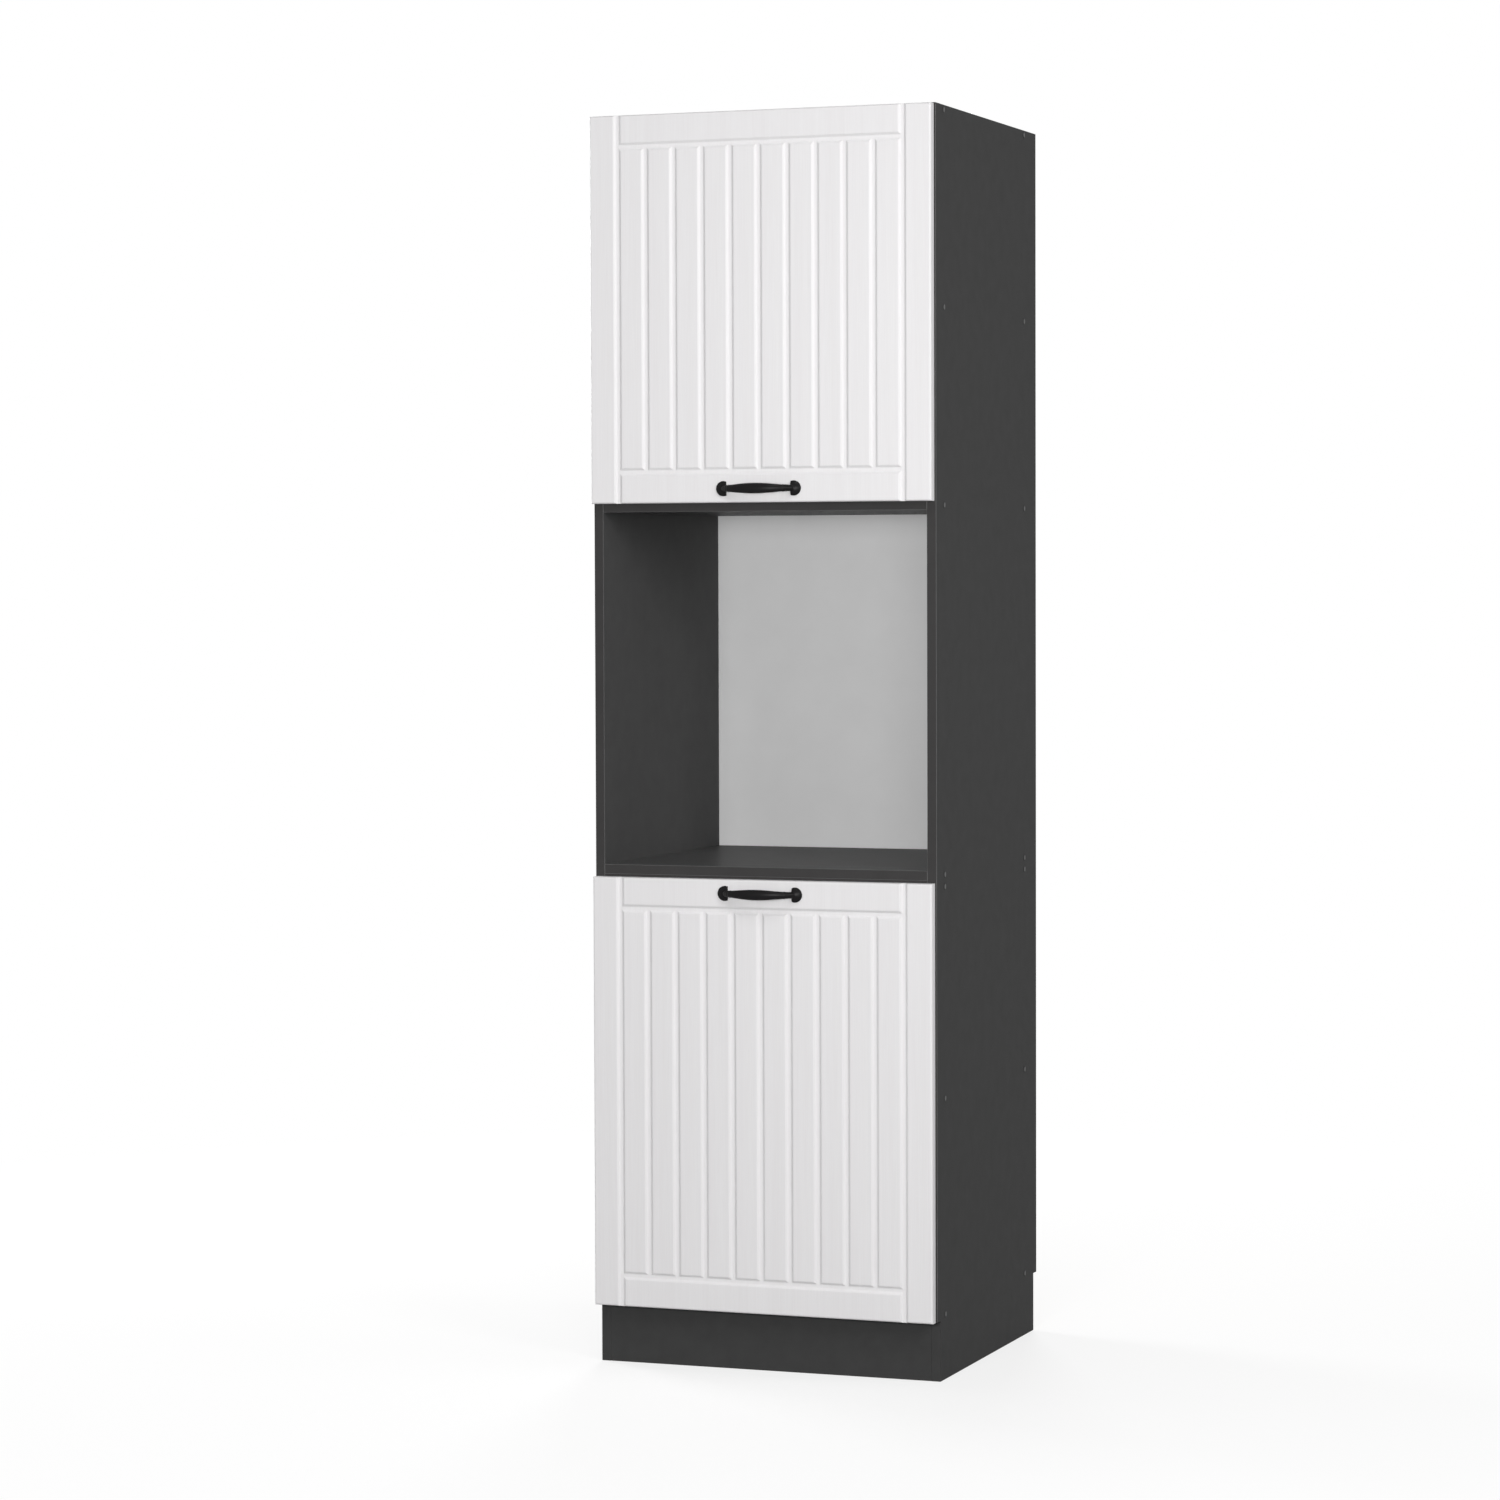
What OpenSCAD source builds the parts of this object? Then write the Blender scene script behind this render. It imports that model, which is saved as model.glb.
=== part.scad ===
// Tall kitchen cabinet that houses a built-in oven: a boarded carcass on a recessed plinth,
// a lift-up door above the open oven niche and a side-hung door below it.
// Frame: X across, the front towards -Y, +Z up, and the origin at the centre of the footprint
// on the floor. The modules draw in cabinet coordinates, where y = 0 is the carcass front.

/* [Cabinet] */
// Outside width over the two side panels
cabinet_width = 600; // [500:10:800]
// Depth of the side panels, front edge to rear edge
cabinet_depth = 560; // [520:10:620]
// Thickness of every carcass board
board_thickness = 16; // [15:1:19]
// Height of the open space under the bottom panel
plinth_height = 100; // [80:5:150]
// Height of the lower box, from the underside of its bottom to the top of its top board
lower_box_height = 720; // [660:10:800]
// Air gap between the lower box and the niche floor
spacer_gap = 4; // [2:1:8]
// Clear height of the oven niche
niche_height = 588; // [570:2:640]
// Height of the upper box, from the niche ceiling to the top of the cabinet
upper_box_height = 658; // [600:2:760]
// Clear height under the shelf in the lower box
lower_shelf_clear = 340; // [260:5:380]
// Clear height under the shelf in the upper box
upper_shelf_clear = 306; // [240:2:320]

/* [Plinth and back] */
// Distance of the side panels' foot behind the carcass front
plinth_recess = 17; // [10:1:60]
// Distance of the plinth board behind the side panels' foot
plinth_inset = 0.5; // [0:0.5:3]
// Depth of the skirting notch at the rear foot of the side panels
rear_notch = 18; // [10:1:40]
// Thickness of the back sheets
back_thickness = 3; // [3:0.5:5]
// Distance of the back sheets' front face from the side panels' rear edge
back_setback = 22; // [12:1:40]
// Depth of the grooves that hold the back sheets
groove_in_side = 8; // [5:0.5:9]
// Play of a back sheet in its groove, on each face
back_play = 0.2; // [0.1:0.1:0.5]
// Gap between the two back sheets
back_joint = 1; // [0.5:0.5:3]

/* [Doors] */
// Thickness of the doors
door_thickness = 16; // [16:1:20]
// Gap between a closed door and the carcass front
door_gap = 3; // [2.8:0.1:4]
// Distance of the door edges inside the cabinet outline
door_reveal = 2; // [1.5:0.5:3]
// How far the upper door covers the front edge of the niche ceiling
upper_door_overlap = 2; // [1:1:10]
// Radius on the outer front edges of the doors
door_edge_radius = 3; // [1:0.5:5]
// Distance of the outer groove lines from the door's side edges
stile_width = 49; // [40:1:70]
// Distance of the groove lines from the door's top and bottom edges
rail_width = 52; // [40:1:80]
// Number of milled planks between the stiles
plank_count = 10; // [6:1:14]
// Width of a milled groove at the surface
groove_width = 13; // [8:0.5:16]
// Width of a milled groove at its floor
groove_floor = 6; // [3:0.5:7]
// Depth of a milled groove
groove_depth = 3; // [1.5:0.5:4]

/* [Handles] */
// Distance between the two screws of a handle
handle_spacing = 128; // [96:32:224]
// Distance of the handle's line from the free edge of its door
handle_inset = 23; // [20:1:40]
// Reach of the bar's centre line in front of the door
handle_reach = 22; // [18:1:35]
// Height of the bar at its middle
grip_height = 16.5; // [10:0.5:22]
// Height of the bar where it leaves a rosette
neck_height = 9.5; // [7:0.5:12]
// Depth of the bar from front to back
grip_depth = 9; // [7:0.5:12]
// Radius of a rosette's round side
rosette_radius = 12.5; // [10:0.5:16]
// Thickness of a rosette at the crown of its dome
rosette_crown = 7; // [6:0.5:10]
// Thickness of a rosette at its rim
rosette_rim = 3; // [2:0.5:4]

/* [Cup hinges] */
// Diameter of a hinge cup
cup_diameter = 35; // [35:0.5:36]
// Depth of a hinge cup in the door
cup_depth = 11.5; // [11:0.1:12.5]
// Wood left between the cup and the door's edge
cup_tab = 3; // [3:0.1:4]
// Distance of the hinge pivot from the door's edge
pivot_inset = 6.8; // [6.6:0.1:7]
// Distance of the hinge pivot inside the door's back face
pivot_depth = 7.2; // [7:0.1:7.4]
// Diameter of the hinge pin
hinge_pin = 2.4; // [2:0.1:2.6]
// Distance of the lower door's hinges from its top and bottom edges
lower_hinge_inset = 110; // [80:5:160]
// Distance of the upper door's hinges from its left and right edges
upper_hinge_inset = 100; // [80:5:140]
// Distance of the mounting screws behind the carcass front
mounting_line = 37; // [35:1:45]

/* [Gas struts] */
// Distance of a strut's stud on the door below the hinge axis
strut_radius = 60; // [50:1:80]
// Distance of that stud behind the door's back face
strut_stand_off = 18; // [16:1:24]
// Distance of a strut's stud on the side panel below the hinge axis
strut_drop = 250; // [220:5:270]
// Distance of a strut's centre line from the side panel
strut_side_gap = 15; // [14:1:20]
// Outside diameter of the strut's tube
tube_diameter = 15; // [14:0.5:18]
// Wall of the strut's tube
tube_wall = 1; // [0.8:0.1:1.5]
// Diameter of the strut's rod
rod_diameter = 6; // [5:0.5:8]

/* [Fixings] */
// Distance of the front assembly screws behind the carcass front
screw_line_front = 43; // [35:1:80]
// Distance of the rear assembly screws in front of the back sheets
screw_line_rear = 48; // [35:1:80]
// Length of the assembly screws
assembly_screw_length = 50; // [40:5:60]
// Diameter of the assembly screws' head
assembly_head = 10; // [9:0.5:11]
// Diameter of the cover caps
cap_diameter = 12; // [11.5:0.5:14]
// Thickness of the cover caps on the side panels
cap_thickness = 0.8; // [0.5:0.1:1.2]
// Distance of the wall brackets from the side panels
wall_bracket_inset = 44; // [30:1:80]
// Diameter of the hole for the wall screw
wall_hole = 6; // [5:0.5:8]

/* [Hidden] */
$fn = 48;

// Colours
graphite = "#424242";
door_white = "#e6e4e5";
back_grey = "#bababa";
black_cast = "#333132";
cap_grey = "#4c4b4b";
zinc = "#b9bcc0";
steel_dark = "#2b2c2e";
clear_rubber = "#d8dad8";

// Small clearances
cut = 1;
play = 0.05;
soft_play = 0.3;
blind_end = 0.5;
sheet_edge_play = 1;

// Widths, with X measured from the middle
inner_width = cabinet_width - 2 * board_thickness;
inner_half = inner_width / 2;
door_width = cabinet_width - 2 * door_reveal;

// Depths, with y measured from the carcass front
board_depth = cabinet_depth - back_setback;
door_back = -door_gap;
door_front = -door_gap - door_thickness;
handle_front = door_front - handle_reach - grip_depth / 2;
plinth_front = plinth_recess + plinth_inset;
screw_lines = [screw_line_front, board_depth - screw_line_rear];
frame_shift = -(cabinet_depth + handle_front) / 2;

// Heights of the boards' undersides
bottom_z = plinth_height;
lower_shelf_z = bottom_z + board_thickness + lower_shelf_clear;
lower_top_z = plinth_height + lower_box_height - board_thickness;
niche_floor_z = lower_top_z + board_thickness + spacer_gap;
niche_top_z = niche_floor_z + board_thickness + niche_height;
upper_shelf_z = niche_top_z + board_thickness + upper_shelf_clear;
cabinet_height = niche_top_z + upper_box_height;
top_z = cabinet_height - board_thickness;
board_levels = [
    bottom_z, lower_shelf_z, lower_top_z, niche_floor_z, niche_top_z, upper_shelf_z, top_z
];

// Door openings
lower_door_z = bottom_z;
lower_door_height = lower_top_z + board_thickness - lower_door_z;
upper_door_z = niche_top_z + board_thickness - upper_door_overlap;
upper_door_height = cabinet_height - door_reveal - upper_door_z;
upper_handle_z = upper_door_z + handle_inset;
lower_handle_z = lower_door_z + lower_door_height - handle_inset;
handle_screw_x = handle_spacing / 2;

// Back sheets: the joint lies behind the air gap
back_joint_z = niche_floor_z - spacer_gap / 2;
back_sheet_width = inner_width + 2 * (groove_in_side - sheet_edge_play);
back_screw_reach = inner_width * 0.32;
back_screw_x = [-back_screw_reach, 0, back_screw_reach];
back_screw_head = 6;
back_screw_head_h = 1.2;
back_screw_shank = 2.6;
back_screw_length = 16;

// Assembly screws
assembly_head_h = 3.2;
assembly_neck = 7;
assembly_neck_length = board_thickness + 4;
assembly_core = 5;
assembly_socket = 4.6;
assembly_socket_depth = 2.6;
cap_stem = 3.6;
cap_stem_length = 2.2;

// Cup hinge, in hinge coordinates: x inwards from the cabinet's outer face, y forward from
// the carcass front, z along the pin
cup_radius = cup_diameter / 2;
cup_wall = 0.8;
cup_x = door_reveal + cup_tab + cup_radius;
pivot_x = door_reveal + pivot_inset;
pivot_y = door_gap + pivot_depth;
pin_radius = hinge_pin / 2;
eye_radius = pin_radius + 1;
eye_half = 4;
neck_thickness = 2.6;
neck_under = 0.2;
neck_top = pivot_y - neck_under + neck_thickness;
plate_thickness = 2;
ridge_height = 4;
ridge_half = 6;
arm_half = 7.5;
arm_height = 5;
arm_front = -3;
arm_x = board_thickness + ridge_height;
arm_rear = -mounting_line - 19;
neck_outer_x = arm_x + neck_thickness;
adjuster_lines = [arm_front - 15, arm_rear + 11];
adjuster_diameter = 4;
adjuster_head = 7;
adjuster_head_h = 1.5;
plate_screw_spacing = 32;
plate_half_length = 24;
plate_front = -mounting_line + 10;
plate_rear = -mounting_line - 10;
flange_thickness = 1.2;
flange_rim = 1;
cup_screw_spacing = 45;
cup_screw_offset = 9.5;
flange_half_length = 28;
wood_screw = 3.5;
wood_screw_head = 7;
wood_screw_head_h = 1.5;
wood_screw_length = 11;
euro_screw = 5;
euro_screw_head = 8;
euro_screw_length = 12;
upper_hinge_x = door_width / 2 - upper_hinge_inset;
lower_hinge_levels = [
    lower_door_z + lower_hinge_inset, lower_door_z + lower_door_height - lower_hinge_inset
];

// Gas struts: the triangle of hinge axis, door stud and side stud gives length and lean
axis_z = cabinet_height - pivot_x;
door_stud_y = door_back + strut_stand_off;
door_stud_z = axis_z - strut_radius;
side_stud_y = mounting_line;
side_stud_z = axis_z - strut_drop;
strut_dy = side_stud_y - door_stud_y;
strut_dz = door_stud_z - side_stud_z;
strut_length = sqrt(strut_dy * strut_dy + strut_dz * strut_dz);
strut_lean = atan2(strut_dy, strut_dz);
strut_x = inner_half - strut_side_gap;
strut_eye_half = 3.9;
strut_eye_radius = 6;
strut_neck_radius = 3.4;
strut_neck_length = 9;
stud_radius = 3;
stud_head_radius = 4.5;
stud_head_length = 2.1;
neck_start = strut_eye_radius - 1;
tube_start = neck_start + 5;
rod_shown = 6;
tube_end = strut_length - neck_start - strut_neck_length - rod_shown;
tube_floor = tube_start + 2;
gland_length = 5;
gland_play = 0.1;
piston_start = tube_floor + 5;
piston_length = 6;
side_bracket_thickness = 2.5;
side_bracket_width = 20;
side_bracket_height = 48;
side_bracket_screw_z = 16;
door_bracket_thickness = 2;
door_bracket_web_x = strut_x - strut_eye_half - 10;
door_bracket_width = 28;
door_bracket_half_height = 14;
door_bracket_screw_x = door_bracket_web_x - door_bracket_width * 0.55;
door_bracket_screw_z = 8;
open_pivot_gap = 0.5;

// Wall and plinth brackets
bracket_leg = 30;
bracket_thickness = 2;
bracket_screw_place = 0.6;
wall_bracket_x = inner_half - wall_bracket_inset;
wall_hole_z = top_z - bracket_leg * bracket_screw_place;
wall_clearance_hole = wall_hole + 2;
plinth_bracket_leg = 24;
plinth_bracket_x = inner_width * 0.35;

// Bumpers and handle screws
bumper_radius = 4.5;
bumper_inset = 22;
machine_screw = 4;
machine_screw_head = 8;
machine_screw_head_h = 2.4;
machine_screw_reach = 4.5;
machine_screw_play = 0.25;

// Helpers that turn local +Z to a direction
module to_front(p) { translate(p) rotate([90, 0, 0]) children(); }
module to_rear(p) { translate(p) rotate([-90, 0, 0]) children(); }
module to_right(p) { translate(p) rotate([0, 90, 0]) children(); }
module to_left(p) { translate(p) rotate([0, -90, 0]) children(); }
module to_below(p) { translate(p) rotate([180, 0, 0]) children(); }
module both_sides() { for (side = [0, 1]) mirror([side, 0, 0]) children(); }
module in_frame() { translate([0, frame_shift, 0]) children(); }

// A hole that starts just above the surface z = 0 and goes down
module hole(diameter, depth) {
    translate([0, 0, -depth]) cylinder(d = diameter, h = depth + cut);
}

// A pan-head screw whose head sits on the surface z = 0
module pan_screw(diameter, length, head, head_h) {
    slot_w = head * 0.16;
    slot_l = head * 0.62;
    slot_d = head_h * 0.55;
    difference() {
        union() {
            cylinder(d1 = head, d2 = head * 0.72, h = head_h);
            translate([0, 0, -length]) cylinder(d = diameter, h = length + head_h / 2);
        }
        for (turn = [0, 90]) rotate([0, 0, turn])
            translate([-slot_l / 2, -slot_w / 2, head_h - slot_d]) cube([slot_l, slot_w, head_h]);
    }
}

// An assembly screw: local +Z points out of the side panel
module assembly_screw() {
    difference() {
        union() {
            translate([0, 0, -assembly_head_h]) cylinder(d = assembly_head, h = assembly_head_h);
            translate([0, 0, -assembly_neck_length])
                cylinder(d = assembly_neck, h = assembly_neck_length - 1);
            translate([0, 0, -assembly_screw_length])
                cylinder(d = assembly_core, h = assembly_screw_length - 1);
        }
        translate([0, 0, -assembly_socket_depth])
            cylinder(d = assembly_socket, h = assembly_socket_depth + cut, $fn = 6);
    }
}

module assembly_hole() {
    hole(assembly_head + 2 * play, assembly_head_h);
    hole(assembly_neck + 2 * play, assembly_neck_length);
    hole(assembly_core + 2 * play, assembly_screw_length + blind_end);
}

module assembly_cap() {
    cylinder(d1 = cap_diameter, d2 = cap_diameter - 1, h = cap_thickness);
    translate([0, 0, -cap_stem_length]) cylinder(d = cap_stem, h = cap_stem_length + cap_thickness / 2);
}

// Carcass boards
module side_outline() {
    polygon([
        [plinth_recess, 0], [cabinet_depth - rear_notch, 0],
        [cabinet_depth - rear_notch, plinth_height], [cabinet_depth, plinth_height],
        [cabinet_depth, cabinet_height], [0, cabinet_height], [0, plinth_height],
        [plinth_recess, plinth_height]
    ]);
}

// The right side panel; the left one is its mirror image plus the lower door's hinge holes
module side_panel() {
    difference() {
        translate([inner_half, 0, 0]) rotate([90, 0, 90])
            linear_extrude(board_thickness) side_outline();
        translate([inner_half - cut, board_depth - back_play, bottom_z - cut])
            cube([groove_in_side + cut, back_thickness + 2 * back_play, cabinet_height]);
        translate([inner_half + board_thickness, 0, 0])
            for (z = board_levels, y = screw_lines)
                to_right([0, y, z + board_thickness / 2]) assembly_hole();
        for (z = [-side_bracket_screw_z, side_bracket_screw_z])
            to_left([inner_half, side_stud_y, side_stud_z + z])
                hole(wood_screw + 2 * play, wood_screw_length);
    }
}

module side_left() {
    color(graphite) difference() {
        mirror([1, 0, 0]) side_panel();
        at_lower_hinges() plate_screw_holes();
    }
}

module side_right() { color(graphite) side_panel(); }

// The holes that a board takes at its ends and along its rear edge
module board_holes(z) {
    mid = z + board_thickness / 2;
    both_sides() for (y = screw_lines)
        to_right([inner_half + board_thickness, y, mid]) assembly_hole();
    for (x = back_screw_x)
        to_rear([x, board_depth, mid])
            hole(back_screw_shank + 2 * play, back_screw_length - back_thickness + blind_end);
}

module carcass_board(z) {
    color(graphite) difference() {
        translate([-inner_half, 0, z]) cube([inner_width, board_depth, board_thickness]);
        board_holes(z);
    }
}

module top_panel() {
    color(graphite) difference() {
        carcass_board(top_z);
        at_upper_hinges() plate_screw_holes();
        both_sides() at_wall_bracket_screws() hole(wood_screw + 2 * play, wood_screw_length);
    }
}

module upper_shelf() { carcass_board(upper_shelf_z); }
module niche_top() { carcass_board(niche_top_z); }
module niche_floor() { carcass_board(niche_floor_z); }
module lower_top() { carcass_board(lower_top_z); }
module lower_shelf() { carcass_board(lower_shelf_z); }

module bottom_panel() {
    color(graphite) difference() {
        carcass_board(bottom_z);
        both_sides() at_plinth_board_screw(true) hole(wood_screw + 2 * play, wood_screw_length);
    }
}

module plinth_board() {
    color(graphite) difference() {
        translate([-inner_half, plinth_front, 0])
            cube([inner_width, board_thickness, plinth_height]);
        both_sides() at_plinth_board_screw(false) hole(wood_screw + 2 * play, wood_screw_length);
    }
}

// Back sheets and their screws
module back_sheet(z0, z1, rows) {
    color(back_grey) difference() {
        translate([-back_sheet_width / 2, board_depth, z0])
            cube([back_sheet_width, back_thickness, z1 - z0]);
        for (z = rows, x = back_screw_x)
            to_rear([x, board_depth + back_thickness, z + board_thickness / 2])
                hole(back_screw_shank + 2 * play, back_thickness + cut);
        both_sides() to_rear([wall_bracket_x, board_depth + back_thickness, wall_hole_z])
            hole(wall_clearance_hole, back_thickness + cut);
    }
}

module back_lower() {
    back_sheet(bottom_z, back_joint_z - back_joint / 2, [for (i = [0:2]) board_levels[i]]);
}

module back_upper() {
    back_sheet(back_joint_z + back_joint / 2, cabinet_height, [for (i = [3:6]) board_levels[i]]);
}

module back_screws() {
    color(zinc) for (z = board_levels, x = back_screw_x)
        to_rear([x, board_depth + back_thickness, z + board_thickness / 2])
            pan_screw(back_screw_shank, back_screw_length, back_screw_head, back_screw_head_h);
}

module assembly_screws() {
    color(zinc) both_sides() for (z = board_levels, y = screw_lines)
        to_right([inner_half + board_thickness, y, z + board_thickness / 2]) assembly_screw();
}

module screw_caps() {
    color(cap_grey) for (z = board_levels, y = screw_lines)
        to_right([inner_half + board_thickness, y, z + board_thickness / 2]) assembly_cap();
}

module screw_caps_left() { mirror([1, 0, 0]) screw_caps(); }
module screw_caps_right() { screw_caps(); }

// Brackets under the top panel that take the wall screws
module at_wall_bracket_screws() {
    for (x = [-bracket_leg / 4, bracket_leg / 4])
        to_below([wall_bracket_x + x, board_depth - bracket_leg * bracket_screw_place, top_z])
            children();
}

module wall_brackets() {
    color(zinc) both_sides() difference() {
        translate([wall_bracket_x - bracket_leg / 2, board_depth - bracket_leg, top_z - bracket_leg])
            difference() {
                cube([bracket_leg, bracket_leg, bracket_leg]);
                translate([-cut, -bracket_thickness, -bracket_thickness])
                    cube([bracket_leg + 2 * cut, bracket_leg, bracket_leg]);
            }
        to_rear([wall_bracket_x, board_depth, wall_hole_z]) hole(wall_hole, bracket_thickness + cut);
        translate([0, 0, -bracket_thickness]) at_wall_bracket_screws()
            hole(wood_screw + 2 * play, bracket_thickness + cut);
    }
}

module wall_bracket_screws() {
    color(zinc) both_sides() translate([0, 0, -bracket_thickness]) at_wall_bracket_screws()
        pan_screw(wood_screw, wood_screw_length, wood_screw_head, wood_screw_head_h);
}

// Brackets that hold the plinth board to the bottom panel
module at_plinth_board_screw(upright) {
    middle = plinth_bracket_leg * bracket_screw_place;
    if (upright)
        to_below([plinth_bracket_x, plinth_front + board_thickness + middle, bottom_z]) children();
    else
        to_rear([plinth_bracket_x, plinth_front + board_thickness, bottom_z - middle]) children();
}

module plinth_brackets() {
    color(zinc) both_sides() difference() {
        translate([plinth_bracket_x - plinth_bracket_leg / 2, plinth_front + board_thickness,
                   bottom_z - plinth_bracket_leg])
            difference() {
                cube([plinth_bracket_leg, plinth_bracket_leg, plinth_bracket_leg]);
                translate([-cut, bracket_thickness, -bracket_thickness])
                    cube([plinth_bracket_leg + 2 * cut, plinth_bracket_leg, plinth_bracket_leg]);
            }
        translate([0, 0, -bracket_thickness]) at_plinth_board_screw(true)
            hole(wood_screw + 2 * play, bracket_thickness + cut);
        translate([0, bracket_thickness, 0]) at_plinth_board_screw(false)
            hole(wood_screw + 2 * play, bracket_thickness + cut);
    }
}

module plinth_screws() {
    color(zinc) both_sides() {
        translate([0, 0, -bracket_thickness]) at_plinth_board_screw(true)
            pan_screw(wood_screw, wood_screw_length, wood_screw_head, wood_screw_head_h);
        translate([0, bracket_thickness, 0]) at_plinth_board_screw(false)
            pan_screw(wood_screw, wood_screw_length, wood_screw_head, wood_screw_head_h);
    }
}

// Places of the hinges: hinge coordinates are turned onto the left side or the top panel
module at_lower_hinges() {
    for (z = lower_hinge_levels)
        translate([-cabinet_width / 2, 0, z]) mirror([0, 1, 0]) children();
}

module at_upper_hinges() {
    for (x = [-upper_hinge_x, upper_hinge_x])
        translate([x, 0, cabinet_height]) rotate([0, 90, 0]) mirror([0, 1, 0]) children();
}

module at_plate_screws() {
    for (z = [-plate_screw_spacing / 2, plate_screw_spacing / 2])
        to_right([board_thickness, -mounting_line, z]) children();
}

module at_adjusters() {
    for (y = adjuster_lines) to_right([arm_x + arm_height, y, 0]) children();
}

module at_cup_screws() {
    for (z = [-cup_screw_spacing / 2, cup_screw_spacing / 2])
        to_front([cup_x + cup_screw_offset, door_gap - flange_thickness, z]) children();
}

module plate_screw_holes() {
    at_plate_screws() hole(euro_screw + 2 * play, euro_screw_length);
}

module hinge_plate() {
    difference() {
        union() {
            translate([board_thickness, plate_rear, -plate_half_length])
                cube([plate_thickness, plate_front - plate_rear, 2 * plate_half_length]);
            translate([board_thickness, arm_rear + 2, -ridge_half])
                cube([ridge_height, arm_front - arm_rear - 12, 2 * ridge_half]);
        }
        translate([plate_thickness, 0, 0]) at_plate_screws()
            hole(euro_screw + 2 * play, plate_thickness + cut);
        at_adjusters() hole(adjuster_diameter + 2 * play, arm_height + ridge_height - 1);
    }
}

// The arm's side view: an eye on the pin, a neck out of the cup and a body on the plate
module arm_outline() {
    polygon([
        [pivot_x, pivot_y - neck_under], [arm_x, pivot_y - neck_under],
        [arm_x, arm_front], [arm_x + arm_height, arm_front],
        [neck_outer_x, arm_front + neck_thickness], [neck_outer_x, neck_top - neck_thickness / 2],
        [neck_outer_x - neck_thickness / 2, neck_top], [pivot_x, neck_top]
    ]);
}

module hinge_arm() {
    difference() {
        union() {
            translate([0, 0, -eye_half]) linear_extrude(2 * eye_half) arm_outline();
            translate([pivot_x, pivot_y, -eye_half]) cylinder(r = eye_radius, h = 2 * eye_half);
            translate([arm_x, arm_rear, -arm_half])
                cube([arm_height, arm_front - arm_rear, 2 * arm_half]);
        }
        translate([pivot_x, pivot_y, -eye_half - cut])
            cylinder(r = pin_radius + play, h = 2 * (eye_half + cut));
        at_adjusters() hole(adjuster_diameter + 2 * play, arm_height + cut);
    }
}

module hinge_adjuster() {
    pan_screw(adjuster_diameter, arm_height + ridge_height - 1.5, adjuster_head, adjuster_head_h);
}

module hinge_cup() {
    flange_y = door_gap - flange_thickness;
    difference() {
        union() {
            to_rear([cup_x, flange_y, 0]) cylinder(r = cup_radius, h = cup_depth + flange_thickness);
            to_rear([cup_x, flange_y, 0]) cylinder(r = cup_radius + flange_rim, h = flange_thickness);
            translate([cup_x + 2, flange_y, -flange_half_length])
                cube([cup_screw_offset + 5, flange_thickness, 2 * flange_half_length]);
        }
        to_rear([cup_x, flange_y - cut, 0])
            cylinder(r = cup_radius - cup_wall, h = cup_depth + flange_thickness + cut - cup_wall);
        translate([pivot_x, pivot_y, -cup_radius])
            cylinder(r = pin_radius + play, h = 2 * cup_radius);
        at_cup_screws() hole(wood_screw + 2 * play, flange_thickness + cut);
    }
}

// The pin's ends lie flush with the cup's outer wall
module hinge_pin_rod() {
    intersection() {
        translate([pivot_x, pivot_y, -cup_radius]) cylinder(r = pin_radius, h = 2 * cup_radius);
        to_rear([cup_x, door_gap, 0]) cylinder(r = cup_radius, h = cup_depth);
    }
}

module plate_screw() {
    pan_screw(euro_screw, euro_screw_length + plate_thickness - 1, euro_screw_head, 1.8);
}

module cup_screw() {
    pan_screw(wood_screw, wood_screw_length, wood_screw_head, wood_screw_head_h);
}

module upper_hinge_plates() { color(zinc) at_upper_hinges() hinge_plate(); }
module upper_hinge_arms() { color(zinc) at_upper_hinges() hinge_arm(); }
module upper_hinge_cups() { color(zinc) at_upper_hinges() hinge_cup(); }
module upper_hinge_pins() { color(steel_dark) at_upper_hinges() hinge_pin_rod(); }
module lower_hinge_plates() { color(zinc) at_lower_hinges() hinge_plate(); }
module lower_hinge_arms() { color(zinc) at_lower_hinges() hinge_arm(); }
module lower_hinge_cups() { color(zinc) at_lower_hinges() hinge_cup(); }
module lower_hinge_pins() { color(steel_dark) at_lower_hinges() hinge_pin_rod(); }

module upper_hinge_plate_screws() {
    color(zinc) at_upper_hinges() translate([plate_thickness, 0, 0]) at_plate_screws() plate_screw();
}

module lower_hinge_plate_screws() {
    color(zinc) at_lower_hinges() translate([plate_thickness, 0, 0]) at_plate_screws() plate_screw();
}

module upper_hinge_adjusters() { color(zinc) at_upper_hinges() at_adjusters() hinge_adjuster(); }
module lower_hinge_adjusters() { color(zinc) at_lower_hinges() at_adjusters() hinge_adjuster(); }
module upper_hinge_cup_screws() { color(zinc) at_upper_hinges() at_cup_screws() cup_screw(); }
module lower_hinge_cup_screws() { color(zinc) at_lower_hinges() at_cup_screws() cup_screw(); }

// Gas struts, on the side -1 or 1; local +Z runs from the side stud to the door stud
module at_strut(side) {
    translate([side * strut_x, side_stud_y, side_stud_z]) rotate([strut_lean, 0, 0]) children();
}

module strut_tube() {
    inner_radius = tube_diameter / 2 - tube_wall;
    difference() {
        union() {
            to_right([-strut_eye_half, 0, 0]) cylinder(r = strut_eye_radius, h = 2 * strut_eye_half);
            translate([0, 0, neck_start]) cylinder(r = strut_neck_radius, h = strut_neck_length);
            translate([0, 0, tube_start]) cylinder(d = tube_diameter, h = tube_end - tube_start);
        }
        to_right([-strut_eye_half - cut, 0, 0])
            cylinder(r = stud_radius + play, h = 2 * (strut_eye_half + cut));
        translate([0, 0, tube_floor]) cylinder(r = inner_radius, h = tube_end - gland_length - tube_floor);
        translate([0, 0, tube_end - gland_length - cut])
            cylinder(d = rod_diameter + 2 * gland_play, h = gland_length + 2 * cut);
    }
}

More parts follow.
